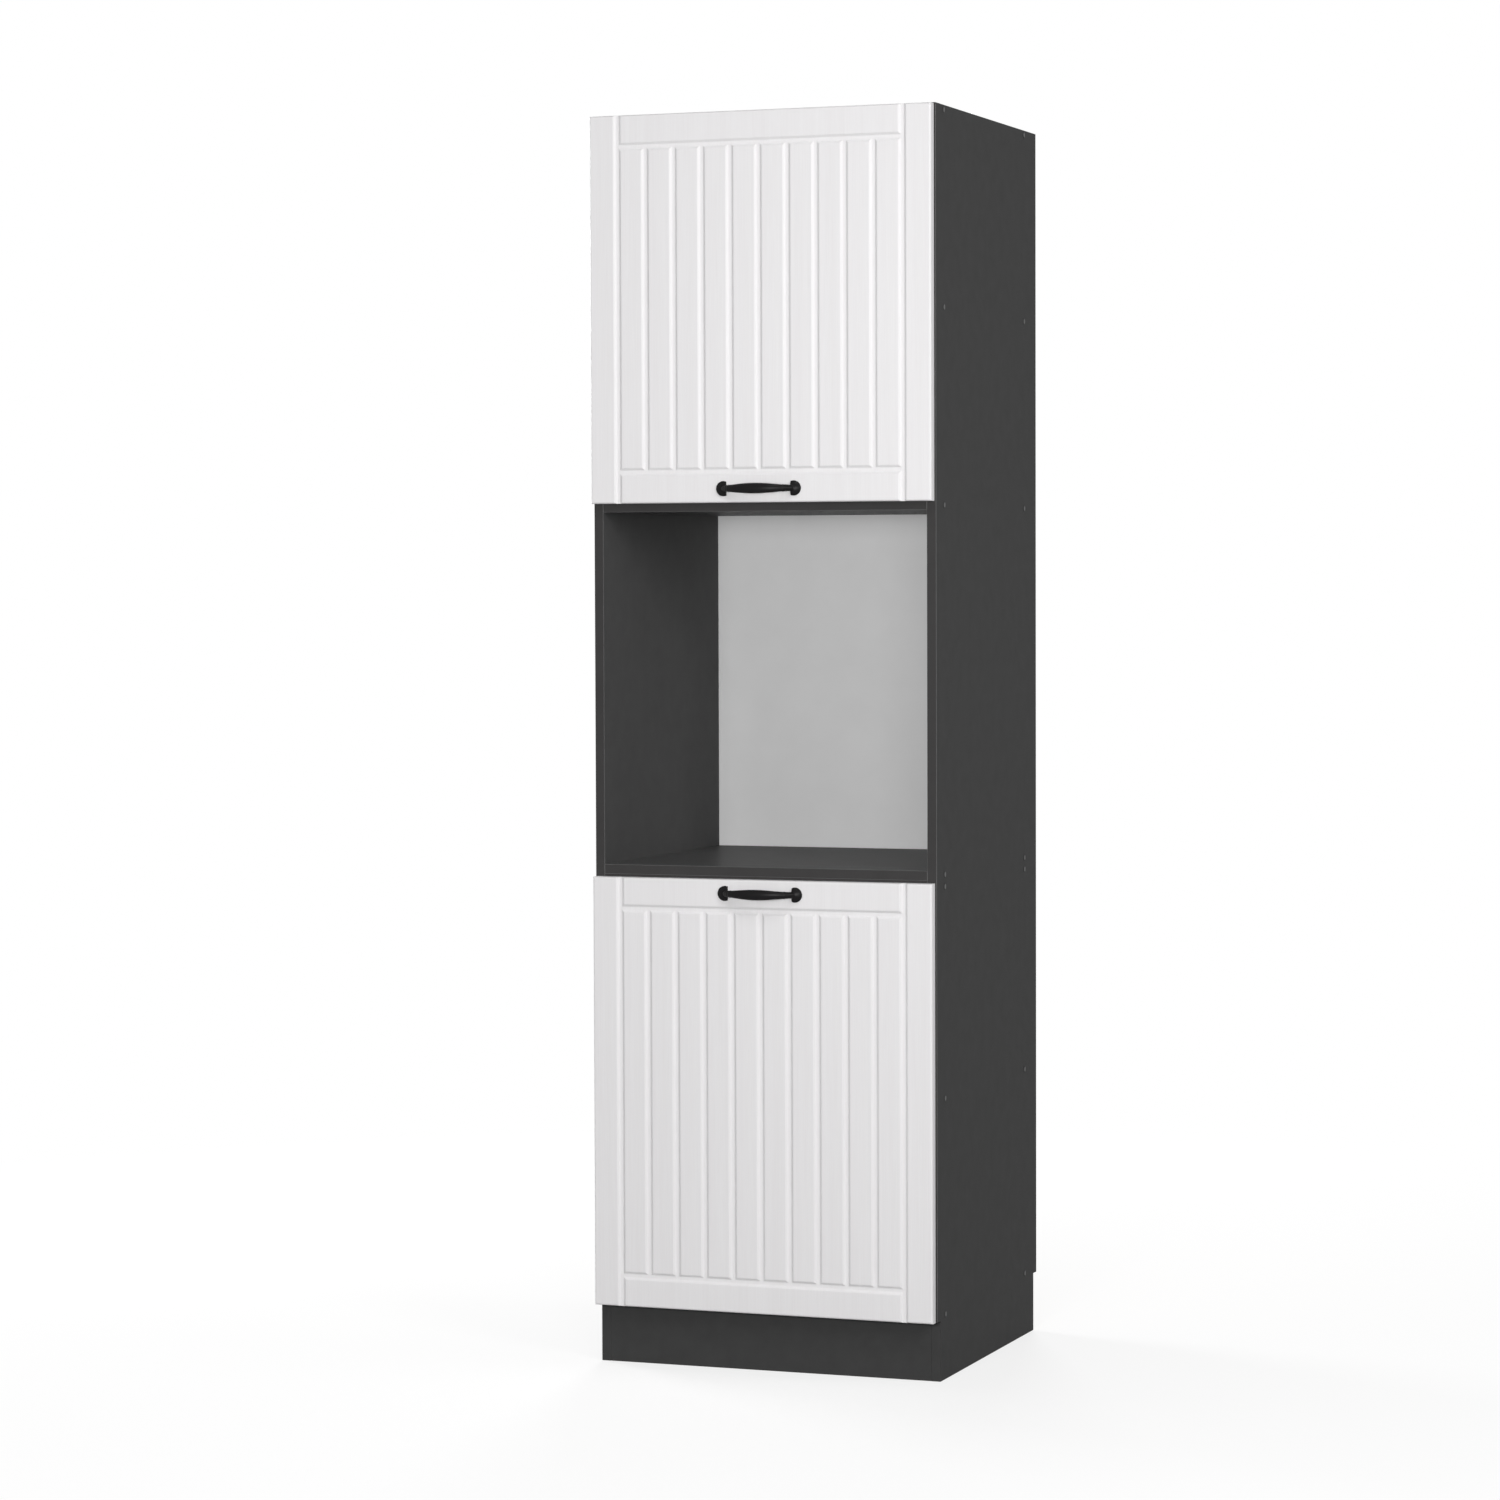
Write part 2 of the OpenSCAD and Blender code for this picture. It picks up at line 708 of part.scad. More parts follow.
module strut_rod() {
    piston_radius = tube_diameter / 2 - tube_wall - soft_play;
    neck_end = strut_length - neck_start;
    translate([0, 0, piston_start]) cylinder(r = piston_radius, h = piston_length);
    translate([0, 0, piston_start + 1]) cylinder(d = rod_diameter, h = neck_end - piston_start - 2);
    translate([0, 0, neck_end - strut_neck_length])
        cylinder(r = strut_neck_radius, h = strut_neck_length);
    to_right([-strut_eye_half, 0, strut_length]) cylinder(r = strut_eye_radius, h = 2 * strut_eye_half);
}

module strut_tube_left() { color(steel_dark) at_strut(-1) strut_tube(); }
module strut_tube_right() { color(steel_dark) at_strut(1) strut_tube(); }
module strut_rod_left() { color(zinc) at_strut(-1) strut_rod(); }
module strut_rod_right() { color(zinc) at_strut(1) strut_rod(); }

module at_side_bracket_screws() {
    for (z = [-side_bracket_screw_z, side_bracket_screw_z])
        to_left([inner_half - side_bracket_thickness, side_stud_y, side_stud_z + z]) children();
}

module strut_side_brackets() {
    stud_end = strut_x - strut_eye_half - soft_play - stud_head_length;
    plate_x = inner_half - side_bracket_thickness;
    shoulder_x = strut_x + strut_eye_half + soft_play;
    color(zinc) both_sides() difference() {
        union() {
            translate([plate_x, side_stud_y - side_bracket_width / 2,
                       side_stud_z - side_bracket_height / 2])
                cube([side_bracket_thickness, side_bracket_width, side_bracket_height]);
            to_right([stud_end, side_stud_y, side_stud_z])
                cylinder(r = stud_radius, h = plate_x + 1 - stud_end);
            to_right([stud_end, side_stud_y, side_stud_z])
                cylinder(r = stud_head_radius, h = stud_head_length);
            to_right([shoulder_x, side_stud_y, side_stud_z])
                cylinder(r = stud_head_radius, h = plate_x + 1 - shoulder_x);
        }
        at_side_bracket_screws() hole(wood_screw + 2 * play, side_bracket_thickness + cut);
    }
}

module strut_side_screws() {
    color(zinc) both_sides() at_side_bracket_screws()
        pan_screw(wood_screw, wood_screw_length, wood_screw_head, wood_screw_head_h);
}

module at_door_bracket_screws() {
    for (z = [-door_bracket_screw_z, door_bracket_screw_z])
        to_rear([door_bracket_screw_x, door_back + door_bracket_thickness, door_stud_z + z]) children();
}

module strut_door_brackets() {
    web_x = door_bracket_web_x;
    web_thickness = door_bracket_thickness;
    stud_length = strut_x - strut_eye_half - open_pivot_gap - web_x;
    color(zinc) both_sides() difference() {
        union() {
            translate([web_x - door_bracket_width, door_back, door_stud_z - door_bracket_half_height])
                cube([door_bracket_width, door_bracket_thickness, 2 * door_bracket_half_height]);
            translate([web_x - web_thickness, door_back, door_stud_z - stud_head_radius - 1])
                cube([web_thickness, strut_stand_off, 2 * (stud_head_radius + 1)]);
            to_right([web_x - web_thickness, door_stud_y, door_stud_z])
                cylinder(r = stud_head_radius + 1, h = web_thickness);
            to_right([web_x - web_thickness, door_stud_y, door_stud_z])
                cylinder(r = stud_radius, h = stud_length + web_thickness);
        }
        at_door_bracket_screws() hole(wood_screw + 2 * play, door_bracket_thickness + cut);
    }
}

module strut_door_screws() {
    color(zinc) both_sides() at_door_bracket_screws()
        pan_screw(wood_screw, wood_screw_length, wood_screw_head, wood_screw_head_h);
}

// Doors: local x across, y into the door from its front face, z up from the bottom edge
module groove_profile() {
    polygon([
        [-groove_width / 2 - cut * (groove_width - groove_floor) / 2 / groove_depth, -cut],
        [groove_width / 2 + cut * (groove_width - groove_floor) / 2 / groove_depth, -cut],
        [groove_floor / 2, groove_depth], [-groove_floor / 2, groove_depth]
    ]);
}

module upright_groove(x, z0, z1) {
    translate([x, 0, z0]) linear_extrude(z1 - z0) groove_profile();
}

module level_groove(z, x0, x1) {
    translate([x0, 0, z]) rotate([0, 90, 0]) linear_extrude(x1 - x0) groove_profile();
}

// The bar that rounds one edge, as long as needed, with the edge at local x = 0, y = 0
module edge_round_bar(length) {
    r = door_edge_radius;
    linear_extrude(length) difference() {
        translate([-cut, -cut]) square(r + cut);
        translate([r, r]) circle(r = r);
    }
}

module door_panel(width, height) {
    groove_x = width / 2 - stile_width;
    pitch = 2 * groove_x / plank_count;
    difference() {
        translate([-width / 2, 0, 0]) cube([width, door_thickness, height]);
        for (side = [-1, 1]) upright_groove(side * groove_x, -cut, height + cut);
        for (i = [1 : plank_count - 1])
            upright_groove(-groove_x + i * pitch, rail_width, height - rail_width);
        for (z = [rail_width, height - rail_width]) level_groove(z, -groove_x, groove_x);
        for (side = [0, 1]) mirror([side, 0, 0])
            translate([-width / 2, 0, -cut]) edge_round_bar(height + 2 * cut);
        for (end = [0, 1]) translate([0, 0, end * height]) mirror([0, 0, end])
            translate([width / 2 + cut, 0, 0]) rotate([0, -90, 0]) edge_round_bar(width + 2 * cut);
    }
}

module door_handle_holes(z) {
    for (x = [-handle_screw_x, handle_screw_x])
        to_rear([x, door_back, z]) hole(machine_screw + 2 * machine_screw_play, door_thickness + cut);
}

module cup_bore() {
    to_front([cup_x, door_gap, 0]) hole(cup_diameter + 2 * play, cup_depth + play);
    at_cup_screws() hole(wood_screw + 2 * play, wood_screw_length + blind_end);
}

module upper_door() {
    color(door_white) difference() {
        translate([0, door_front, upper_door_z]) door_panel(door_width, upper_door_height);
        door_handle_holes(upper_handle_z);
        at_upper_hinges() cup_bore();
        both_sides() at_door_bracket_screws() hole(wood_screw + 2 * play, wood_screw_length + blind_end);
    }
}

module lower_door() {
    color(door_white) difference() {
        translate([0, door_front, lower_door_z]) door_panel(door_width, lower_door_height);
        door_handle_holes(lower_handle_z);
        at_lower_hinges() cup_bore();
    }
}

module bumper(x, z) {
    radius = bumper_radius;
    to_rear([x, door_back, z]) {
        cylinder(r = radius, h = (door_gap - soft_play) / 2);
        cylinder(r1 = radius, r2 = radius * 0.7, h = door_gap - soft_play);
    }
}

module upper_door_bumpers() {
    x = (cabinet_width - board_thickness) / 2;
    color(clear_rubber) for (side = [-x, x]) bumper(side, upper_door_z + bumper_inset);
}

module lower_door_bumpers() {
    x = (cabinet_width - board_thickness) / 2;
    z_low = lower_door_z + bumper_inset;
    z_high = lower_door_z + lower_door_height - bumper_inset;
    color(clear_rubber) for (z = [z_low, z_high]) bumper(x, z);
}

// Handles: local x across, y out of the door, z up, with the door's face at y = 0
bar_rings = 40;
bar_sides = 20;
bar_end_inset = 4;
bar_end_sink = 3.2;
bar_end_x = handle_screw_x - bar_end_inset;
bar_end_y = rosette_crown - bar_end_sink;
bar_rise = handle_reach - bar_end_y;
last_slope_t = 0.985;
rosette_shift = 2.5;
rosette_inner_half = 5;

// The centre line bows out steeply near the rosettes and is nearly straight at the middle
function bar_y(t) = bar_end_y + bar_rise * pow(1 - pow(abs(t), 2.6), 0.8);
function bar_half_z(t) = (neck_height + (grip_height - neck_height) * pow(cos(90 * t), 1.6)) / 2;
function bar_slope(t) = (bar_y(t + 0.01) - bar_y(t - 0.01)) / (0.02 * bar_end_x);

// A point of the bar's skin at the station t from -1 to 1 and the angle a round the bar
function bar_point(t, a) =
    let (
        inside = max(-last_slope_t, min(last_slope_t, t)),
        lean = atan(bar_slope(inside)),
        out = grip_depth / 2 * cos(a)
    )
    [bar_end_x * t - out * sin(lean), bar_y(t) + out * cos(lean), bar_half_z(t) * sin(a)];

module handle_bar() {
    points = [
        for (i = [0:bar_rings], j = [0 : bar_sides - 1])
            bar_point(2 * i / bar_rings - 1, 360 * j / bar_sides)
    ];
    walls = [
        for (i = [0 : bar_rings - 1], j = [0 : bar_sides - 1])
            let (a = i * bar_sides + j, b = i * bar_sides + (j + 1) % bar_sides)
            each [[a, a + bar_sides, b], [b, a + bar_sides, b + bar_sides]]
    ];
    last = bar_rings * bar_sides;
    ends = [
        for (j = [1 : bar_sides - 2])
            each [[0, j, j + 1], [last, last + j + 1, last + j]]
    ];
    polyhedron(points, concat(walls, ends));
}

module rosette() {
    dome_rise = rosette_crown - rosette_rim;
    dome_radius = (rosette_radius * rosette_radius + dome_rise * dome_rise) / (2 * dome_rise);
    centre_x = handle_screw_x - rosette_shift;
    intersection() {
        to_rear([centre_x, 0, 0]) cylinder(r = rosette_radius, h = rosette_crown);
        translate([centre_x, rosette_crown - dome_radius, 0]) sphere(r = dome_radius, $fn = 96);
        translate([centre_x - rosette_inner_half, -cut, -rosette_radius - cut])
            cube([rosette_radius + rosette_inner_half + cut, rosette_crown + 2 * cut,
                  2 * (rosette_radius + cut)]);
    }
}

module handle() {
    difference() {
        union() {
            handle_bar();
            both_sides() rosette();
        }
        for (x = [-handle_screw_x, handle_screw_x])
            to_front([x, 0, 0]) hole(machine_screw + 2 * play, machine_screw_reach + soft_play);
    }
}

module on_door_face(z) { translate([0, door_front, z]) mirror([0, 1, 0]) children(); }

module handle_screws(z) {
    color(zinc) for (x = [-handle_screw_x, handle_screw_x])
        to_rear([x, door_back, z])
            pan_screw(machine_screw, door_thickness + machine_screw_reach, machine_screw_head,
                      machine_screw_head_h);
}

module upper_handle() { color(black_cast) on_door_face(upper_handle_z) handle(); }
module lower_handle() { color(black_cast) on_door_face(lower_handle_z) handle(); }
module upper_handle_screws() { handle_screws(upper_handle_z); }
module lower_handle_screws() { handle_screws(lower_handle_z); }

in_frame() side_left();
in_frame() side_right();
in_frame() top_panel();
in_frame() upper_shelf();
in_frame() niche_top();
in_frame() niche_floor();
in_frame() lower_top();
in_frame() lower_shelf();
in_frame() bottom_panel();
in_frame() plinth_board();
in_frame() plinth_brackets();
in_frame() plinth_screws();
in_frame() back_upper();
in_frame() back_lower();
in_frame() back_screws();
in_frame() assembly_screws();
in_frame() screw_caps_left();
in_frame() screw_caps_right();
in_frame() wall_brackets();
in_frame() wall_bracket_screws();
in_frame() upper_hinge_plates();
in_frame() upper_hinge_plate_screws();
in_frame() upper_hinge_arms();
in_frame() upper_hinge_adjusters();
in_frame() upper_hinge_cups();
in_frame() upper_hinge_cup_screws();
in_frame() upper_hinge_pins();
in_frame() lower_hinge_plates();
in_frame() lower_hinge_plate_screws();
in_frame() lower_hinge_arms();
in_frame() lower_hinge_adjusters();
in_frame() lower_hinge_cups();
in_frame() lower_hinge_cup_screws();
in_frame() lower_hinge_pins();
in_frame() strut_side_brackets();
in_frame() strut_side_screws();
in_frame() strut_tube_left();
in_frame() strut_tube_right();
in_frame() strut_rod_left();
in_frame() strut_rod_right();
in_frame() strut_door_brackets();
in_frame() strut_door_screws();
in_frame() upper_door();
in_frame() upper_door_bumpers();
in_frame() upper_handle();
in_frame() upper_handle_screws();
in_frame() lower_door();
in_frame() lower_door_bumpers();
in_frame() lower_handle();
in_frame() lower_handle_screws();
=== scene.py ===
import math

import bmesh
import bpy
import numpy as np
from mathutils import Matrix, Vector


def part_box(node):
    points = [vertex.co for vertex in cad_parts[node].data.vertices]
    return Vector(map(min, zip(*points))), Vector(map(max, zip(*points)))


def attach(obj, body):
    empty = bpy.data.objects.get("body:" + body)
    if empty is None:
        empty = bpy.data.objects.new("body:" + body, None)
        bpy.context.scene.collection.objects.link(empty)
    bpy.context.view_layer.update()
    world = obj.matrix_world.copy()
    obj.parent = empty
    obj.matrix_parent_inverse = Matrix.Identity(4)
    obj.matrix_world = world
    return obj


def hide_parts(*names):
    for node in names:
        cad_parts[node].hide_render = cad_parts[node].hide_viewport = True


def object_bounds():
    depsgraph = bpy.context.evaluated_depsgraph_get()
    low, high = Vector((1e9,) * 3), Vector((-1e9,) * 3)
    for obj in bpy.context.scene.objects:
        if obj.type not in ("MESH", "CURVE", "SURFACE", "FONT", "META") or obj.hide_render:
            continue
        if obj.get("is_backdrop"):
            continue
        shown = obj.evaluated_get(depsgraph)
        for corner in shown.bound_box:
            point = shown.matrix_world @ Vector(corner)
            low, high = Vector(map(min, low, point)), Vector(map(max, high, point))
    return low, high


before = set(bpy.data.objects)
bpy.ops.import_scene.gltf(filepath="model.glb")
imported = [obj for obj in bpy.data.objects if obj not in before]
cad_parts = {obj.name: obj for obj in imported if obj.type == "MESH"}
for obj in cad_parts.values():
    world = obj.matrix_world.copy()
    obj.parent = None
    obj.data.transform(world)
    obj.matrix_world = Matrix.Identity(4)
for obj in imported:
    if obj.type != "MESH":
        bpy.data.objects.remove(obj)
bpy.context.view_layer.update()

# Oven base cabinet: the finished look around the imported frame, in metres
MM = 0.001

# Outlines of the carcass, from the frame
side_low, side_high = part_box("side_right")
FRONT, REAR, TOP = side_low.y, side_high.y, side_high.z
OUTER, INNER = side_high.x, side_low.x
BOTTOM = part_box("bottom_panel")[0].z
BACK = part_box("top_panel")[1].y
TOE = 17 * MM
REAR_NOTCH = 18 * MM
SHEET_GROOVE = 8 * MM
SHEET_PLAY = 0.2 * MM
SHEET = 3 * MM
EDGE_BAND = 0.8 * MM
EASED_EDGE = 0.5 * MM
# How far a cutter reaches past what it cuts
OVERCUT = 1 * MM
# A face's middle this close to a plane counts as lying in it
HAIR = 0.1 * MM
# How much of a face's normal has to lie along an axis
MOSTLY, NEARLY, SQUARELY = 0.5, 0.9, 0.95
# Edges that turn by more than these degrees stay sharp
SHARP_ON_BOARDS, SHARP_ON_DOORS = 32, 40
# Specular levels, fitted to the photo: at the usual 0.5 the white surroundings pale the dark pieces
BOARD_SPECULAR, HANDLE_SPECULAR, CAP_SPECULAR = 0.0065, 0.12, 0.03


def srgb(hex_colour):
    """A colour written as #rrggbb, turned to linear with full alpha."""
    parts = [int(hex_colour[i:i + 2], 16) / 255 for i in (1, 3, 5)]
    return [p / 12.92 if p <= 0.04045 else ((p + 0.055) / 1.055) ** 2.4 for p in parts] + [1]


def add(tree, kind, inputs=None, stops=(), **settings):
    """Adds a node. An input, by name or place, takes a value, a socket or a node's first output."""
    node = tree.nodes.new(kind)
    for name, value in settings.items():
        setattr(node, name, value)
    for name, value in (inputs or {}).items():
        if isinstance(value, bpy.types.Node):
            value = value.outputs[0]
        if isinstance(value, bpy.types.NodeSocket):
            tree.links.new(value, node.inputs[name])
        else:
            node.inputs[name].default_value = value
    for i, (place, colour) in enumerate(stops):
        elements = node.color_ramp.elements
        element = elements[i] if i < 2 else elements.new(place)
        element.position, element.color = place, srgb(colour)
    return node


# Materials
def new_material(name):
    material = bpy.data.materials.new(name)
    material.use_nodes = True
    material.node_tree.nodes.clear()
    return material, material.node_tree


def foil_front():
    """MDF milled, then pressed with white PVC foil: satin white with a faint upright grain."""
    material, tree = new_material("white_foil_on_mdf")
    here = add(tree, "ShaderNodeTexCoord").outputs["Object"]
    upright = add(tree, "ShaderNodeMapping", {"Vector": here, "Scale": (1, 1, 0.02)})
    # The foil's pores are 0.3 mm wide and drawn at 1.6 mm so that they show
    pores = add(tree, "ShaderNodeTexNoise",
                {"Vector": upright, "Scale": 1 / (1.6 * MM), "Detail": 3, "Roughness": 0.6})
    bands = add(tree, "ShaderNodeTexNoise", {"Vector": upright, "Scale": 1 / (14 * MM), "Detail": 2})
    grain = add(tree, "ShaderNodeMix", {0: 0.4, 2: pores, 3: bands})
    white = add(tree, "ShaderNodeValToRGB", {0: grain}, [(0.25, "#e6e4e5"), (0.75, "#ecebec")])
    sheen = add(tree, "ShaderNodeMapRange", {"Value": pores, "To Min": 0.38, "To Max": 0.5})
    relief = add(tree, "ShaderNodeBump", {"Height": pores, "Strength": 1, "Distance": 0.06 * MM})
    shader = add(tree, "ShaderNodeBsdfPrincipled",
                 {"Base Color": white, "Roughness": sheen, "Normal": relief, "IOR": 1.46})
    add(tree, "ShaderNodeOutputMaterial", {"Surface": shader})
    return material


def melamine(name, dark, light, gloss):
    """Melamine paper pressed by a pearl plate, or ABS band to match: dull, softly mottled graphite."""
    material, tree = new_material(name)
    here = add(tree, "ShaderNodeTexCoord").outputs["Object"]
    cloud = add(tree, "ShaderNodeTexNoise", {"Vector": here, "Scale": 1 / (30 * MM), "Detail": 4})
    # The pearl plate's grit is 0.2 mm and drawn at 0.8 mm so that it shows in a close view
    pearl = add(tree, "ShaderNodeTexNoise",
                {"Vector": here, "Scale": 1 / (0.8 * MM), "Detail": 2, "Roughness": 0.7})
    mottle = add(tree, "ShaderNodeMix", {0: 0.35, 2: cloud, 3: pearl})
    grey = add(tree, "ShaderNodeValToRGB", {0: mottle}, [(0.3, dark), (0.7, light)])
    sheen = add(tree, "ShaderNodeMapRange",
                {"Value": pearl, "To Min": gloss - 0.05, "To Max": gloss + 0.07})
    relief = add(tree, "ShaderNodeBump", {"Height": pearl, "Strength": 1, "Distance": 0.05 * MM})
    shader = add(tree, "ShaderNodeBsdfPrincipled",
                 {"Base Color": grey, "Roughness": sheen, "Normal": relief, "IOR": 1.5,
                  "Specular IOR Level": BOARD_SPECULAR})
    add(tree, "ShaderNodeOutputMaterial", {"Surface": shader})
    return material


def raw_chipboard():
    """Sawn edge of three-layer chipboard: pale flakes and dark specks, coarse in the core."""
    material, tree = new_material("sawn_chipboard_edge")
    here = add(tree, "ShaderNodeTexCoord").outputs["Object"]
    lengthwise = add(tree, "ShaderNodeMapping", {"Vector": here, "Scale": (1, 1, 0.5)})
    # Core flakes of about 3 mm, drawn at their size
    flakes = add(tree, "ShaderNodeTexVoronoi",
                 {"Vector": lengthwise, "Scale": 1 / (3 * MM), "Randomness": 1})
    fines = add(tree, "ShaderNodeTexNoise",
                {"Vector": lengthwise, "Scale": 1 / (0.9 * MM), "Detail": 3, "Roughness": 0.7})
    tone = add(tree, "ShaderNodeMix", {0: 0.5, 2: flakes.outputs["Color"], 3: fines})
    wood = add(tree, "ShaderNodeValToRGB", {0: tone},
               [(0.2, "#6f5636"), (0.42, "#a58658"), (0.6, "#c1a376"), (0.85, "#d6bd92")])
    relief = add(tree, "ShaderNodeBump", {"Height": tone, "Strength": 1, "Distance": 0.4 * MM})
    shader = add(tree, "ShaderNodeBsdfPrincipled",
                 {"Base Color": wood, "Normal": relief, "Roughness": 0.85, "IOR": 1.5})
    add(tree, "ShaderNodeOutputMaterial", {"Surface": shader})
    return material


def back_sheet_board():
    """Thin HDF: lacquered light grey towards the niche, raw brown felted fibre towards the wall."""
    material, tree = new_material("lacquered_hdf_sheet")
    here = add(tree, "ShaderNodeTexCoord").outputs["Object"]
    fibre = add(tree, "ShaderNodeTexNoise",
                {"Vector": here, "Scale": 1 / (2 * MM), "Detail": 4, "Roughness": 0.7})
    cloud = add(tree, "ShaderNodeTexNoise", {"Vector": here, "Scale": 1 / (60 * MM), "Detail": 3})
    lacquer = add(tree, "ShaderNodeValToRGB", {0: cloud}, [(0.3, "#f1f1f1"), (0.7, "#f4f4f4")])
    raw = add(tree, "ShaderNodeValToRGB", {0: fibre},
              [(0.25, "#66503a"), (0.5, "#786048"), (0.8, "#8a7258")])
    normal = add(tree, "ShaderNodeNewGeometry").outputs["True Normal"]
    facing = add(tree, "ShaderNodeSeparateXYZ", {0: normal})
    rear = add(tree, "ShaderNodeMath", {0: facing.outputs["Y"], 1: MOSTLY}, operation="GREATER_THAN")
    colour = add(tree, "ShaderNodeMix", {0: rear, 6: lacquer, 7: raw}, data_type="RGBA").outputs[2]
    relief = add(tree, "ShaderNodeBump", {"Height": fibre, "Strength": 1, "Distance": 0.03 * MM})
    shader = add(tree, "ShaderNodeBsdfPrincipled",
                 {"Base Color": colour, "Normal": relief, "Roughness": 0.5, "IOR": 1.48})
    add(tree, "ShaderNodeOutputMaterial", {"Surface": shader})
    return material


def cast_black():
    """Zinc die casting under black powder paint: satin, with a faint orange peel."""
    material, tree = new_material("black_powder_on_zinc")
    here = add(tree, "ShaderNodeTexCoord").outputs["Object"]
    # Orange peel of about 1 mm, drawn at its size
    peel = add(tree, "ShaderNodeTexNoise", {"Vector": here, "Scale": 1 / (1.1 * MM), "Detail": 2})
    black = add(tree, "ShaderNodeValToRGB", {0: peel}, [(0.3, "#131213"), (0.7, "#181718")])
    sheen = add(tree, "ShaderNodeMapRange", {"Value": peel, "To Min": 0.26, "To Max": 0.36})
    relief = add(tree, "ShaderNodeBump", {"Height": peel, "Strength": 1, "Distance": 0.04 * MM})
    shader = add(tree, "ShaderNodeBsdfPrincipled",
                 {"Base Color": black, "Roughness": sheen, "Normal": relief, "IOR": 1.45,
                  "Specular IOR Level": HANDLE_SPECULAR})
    add(tree, "ShaderNodeOutputMaterial", {"Surface": shader})
    return material


def plated(name, dull, bright, low, high):
    """Plated or blackened steel: a slightly cloudy coat, fine rolling marks and a soft gloss."""
    material, tree = new_material(name)
    here = add(tree, "ShaderNodeTexCoord").outputs["Object"]
    cloud = add(tree, "ShaderNodeTexNoise", {"Vector": here, "Scale": 1 / (9 * MM), "Detail": 3})
    # Rolling marks are 0.1 mm and drawn at 0.5 mm so that they show
    marks = add(tree, "ShaderNodeTexNoise", {"Vector": here, "Scale": 1 / (0.5 * MM), "Detail": 2})
    coat = add(tree, "ShaderNodeValToRGB", {0: cloud}, [(0.3, dull), (0.7, bright)])
    sheen = add(tree, "ShaderNodeMapRange", {"Value": marks, "To Min": low, "To Max": high})
    relief = add(tree, "ShaderNodeBump", {"Height": marks, "Strength": 1, "Distance": 0.01 * MM})
    shader = add(tree, "ShaderNodeBsdfPrincipled",
                 {"Base Color": coat, "Roughness": sheen, "Normal": relief, "Metallic": 1})
    add(tree, "ShaderNodeOutputMaterial", {"Surface": shader})
    return material


def moulded(name, dark, light, low, high, gloss):
    """Moulded plastic or thick paint: an even colour with the fine sparkle of a spark-eroded die."""
    material, tree = new_material(name)
    here = add(tree, "ShaderNodeTexCoord").outputs["Object"]
    # Spark grit is 0.1 mm and drawn at 0.4 mm so that it shows
    spark = add(tree, "ShaderNodeTexNoise",
                {"Vector": here, "Scale": 1 / (0.4 * MM), "Detail": 2, "Roughness": 0.6})
    colour = add(tree, "ShaderNodeValToRGB", {0: spark}, [(0.3, dark), (0.7, light)])
    sheen = add(tree, "ShaderNodeMapRange", {"Value": spark, "To Min": low, "To Max": high})
    relief = add(tree, "ShaderNodeBump", {"Height": spark, "Strength": 1, "Distance": 0.02 * MM})
    shader = add(tree, "ShaderNodeBsdfPrincipled",
                 {"Base Color": colour, "Roughness": sheen, "Normal": relief, "IOR": 1.5,
                  "Specular IOR Level": gloss})
    add(tree, "ShaderNodeOutputMaterial", {"Surface": shader})
    return material


def clear_bumper():
    """Cast polyurethane dot: milky and clear, with a soft sheen."""
    material, tree = new_material("clear_polyurethane")
    here = add(tree, "ShaderNodeTexCoord").outputs["Object"]
    haze = add(tree, "ShaderNodeTexNoise", {"Vector": here, "Scale": 1 / (1.5 * MM), "Detail": 2})
    milk = add(tree, "ShaderNodeValToRGB", {0: haze}, [(0.3, "#dcdedc"), (0.7, "#ecedec")])
    sheen = add(tree, "ShaderNodeMapRange", {"Value": haze, "To Min": 0.2, "To Max": 0.35})
    shader = add(tree, "ShaderNodeBsdfPrincipled",
                 {"Base Color": milk, "Roughness": sheen, "IOR": 1.5, "Transmission Weight": 0.6})
    add(tree, "ShaderNodeOutputMaterial", {"Surface": shader})
    return material


front_white = foil_front()
graphite = melamine("graphite_melamine", "#424242", "#474747", 0.36)
# Painted light: the same graphite decor drawn lighter, for the boards' inner and level faces
graphite_painted_light_inside = melamine("graphite_melamine_painted_light_inside", "#585858", "#5d5d5d", 0.36)
graphite_band = melamine("graphite_abs_edge_band", "#414040", "#454444", 0.34)
# Painted highlight: the edge band drawn pale along its arrises, where they catch the light
arris_painted_highlight = melamine("abs_arris_painted_highlight", "#6c6c6c", "#727272", 0.34)
chipboard = raw_chipboard()
sheet_board = back_sheet_board()
black_cast = cast_black()
zinc_plated = plated("zinc_plated_steel", "#b4b8bd", "#c6c9cc", 0.28, 0.42)
nickel_plated = plated("nickel_plated_steel", "#b9b6b0", "#cbc8c2", 0.2, 0.32)
blackened = plated("blackened_steel", "#2a2b2d", "#343537", 0.35, 0.5)
chromed = plated("chromed_rod", "#cfd1d3", "#d8dadc", 0.08, 0.16)
painted_tube = moulded("black_painted_tube", "#1d1e20", "#242527", 0.3, 0.42, 0.5)
# The caps' crowns are drawn paler than the boards: partly the caps' own lighter plastic, partly a
# painted highlight on the dome
cap_plastic = moulded("graphite_cap_polypropylene", "#707070", "#767676", 0.5, 0.6, CAP_SPECULAR)
bumper_plastic = clear_bumper()


# Meshes
def from_bmesh(name, shape, material):
    """An object with a bmesh as its mesh."""
    mesh = bpy.data.meshes.new(name)
    shape.to_mesh(mesh)
    shape.free()
    mesh.materials.append(material)
    piece = bpy.data.objects.new(name, mesh)
    bpy.context.scene.collection.objects.link(piece)
    return piece


def smooth_up_to(piece, sharp_deg):
    """Smooth shading, apart from edges that turn by more than sharp_deg."""
    piece.data.shade_smooth()
    piece.data.set_sharp_from_angle(angle=math.radians(sharp_deg))


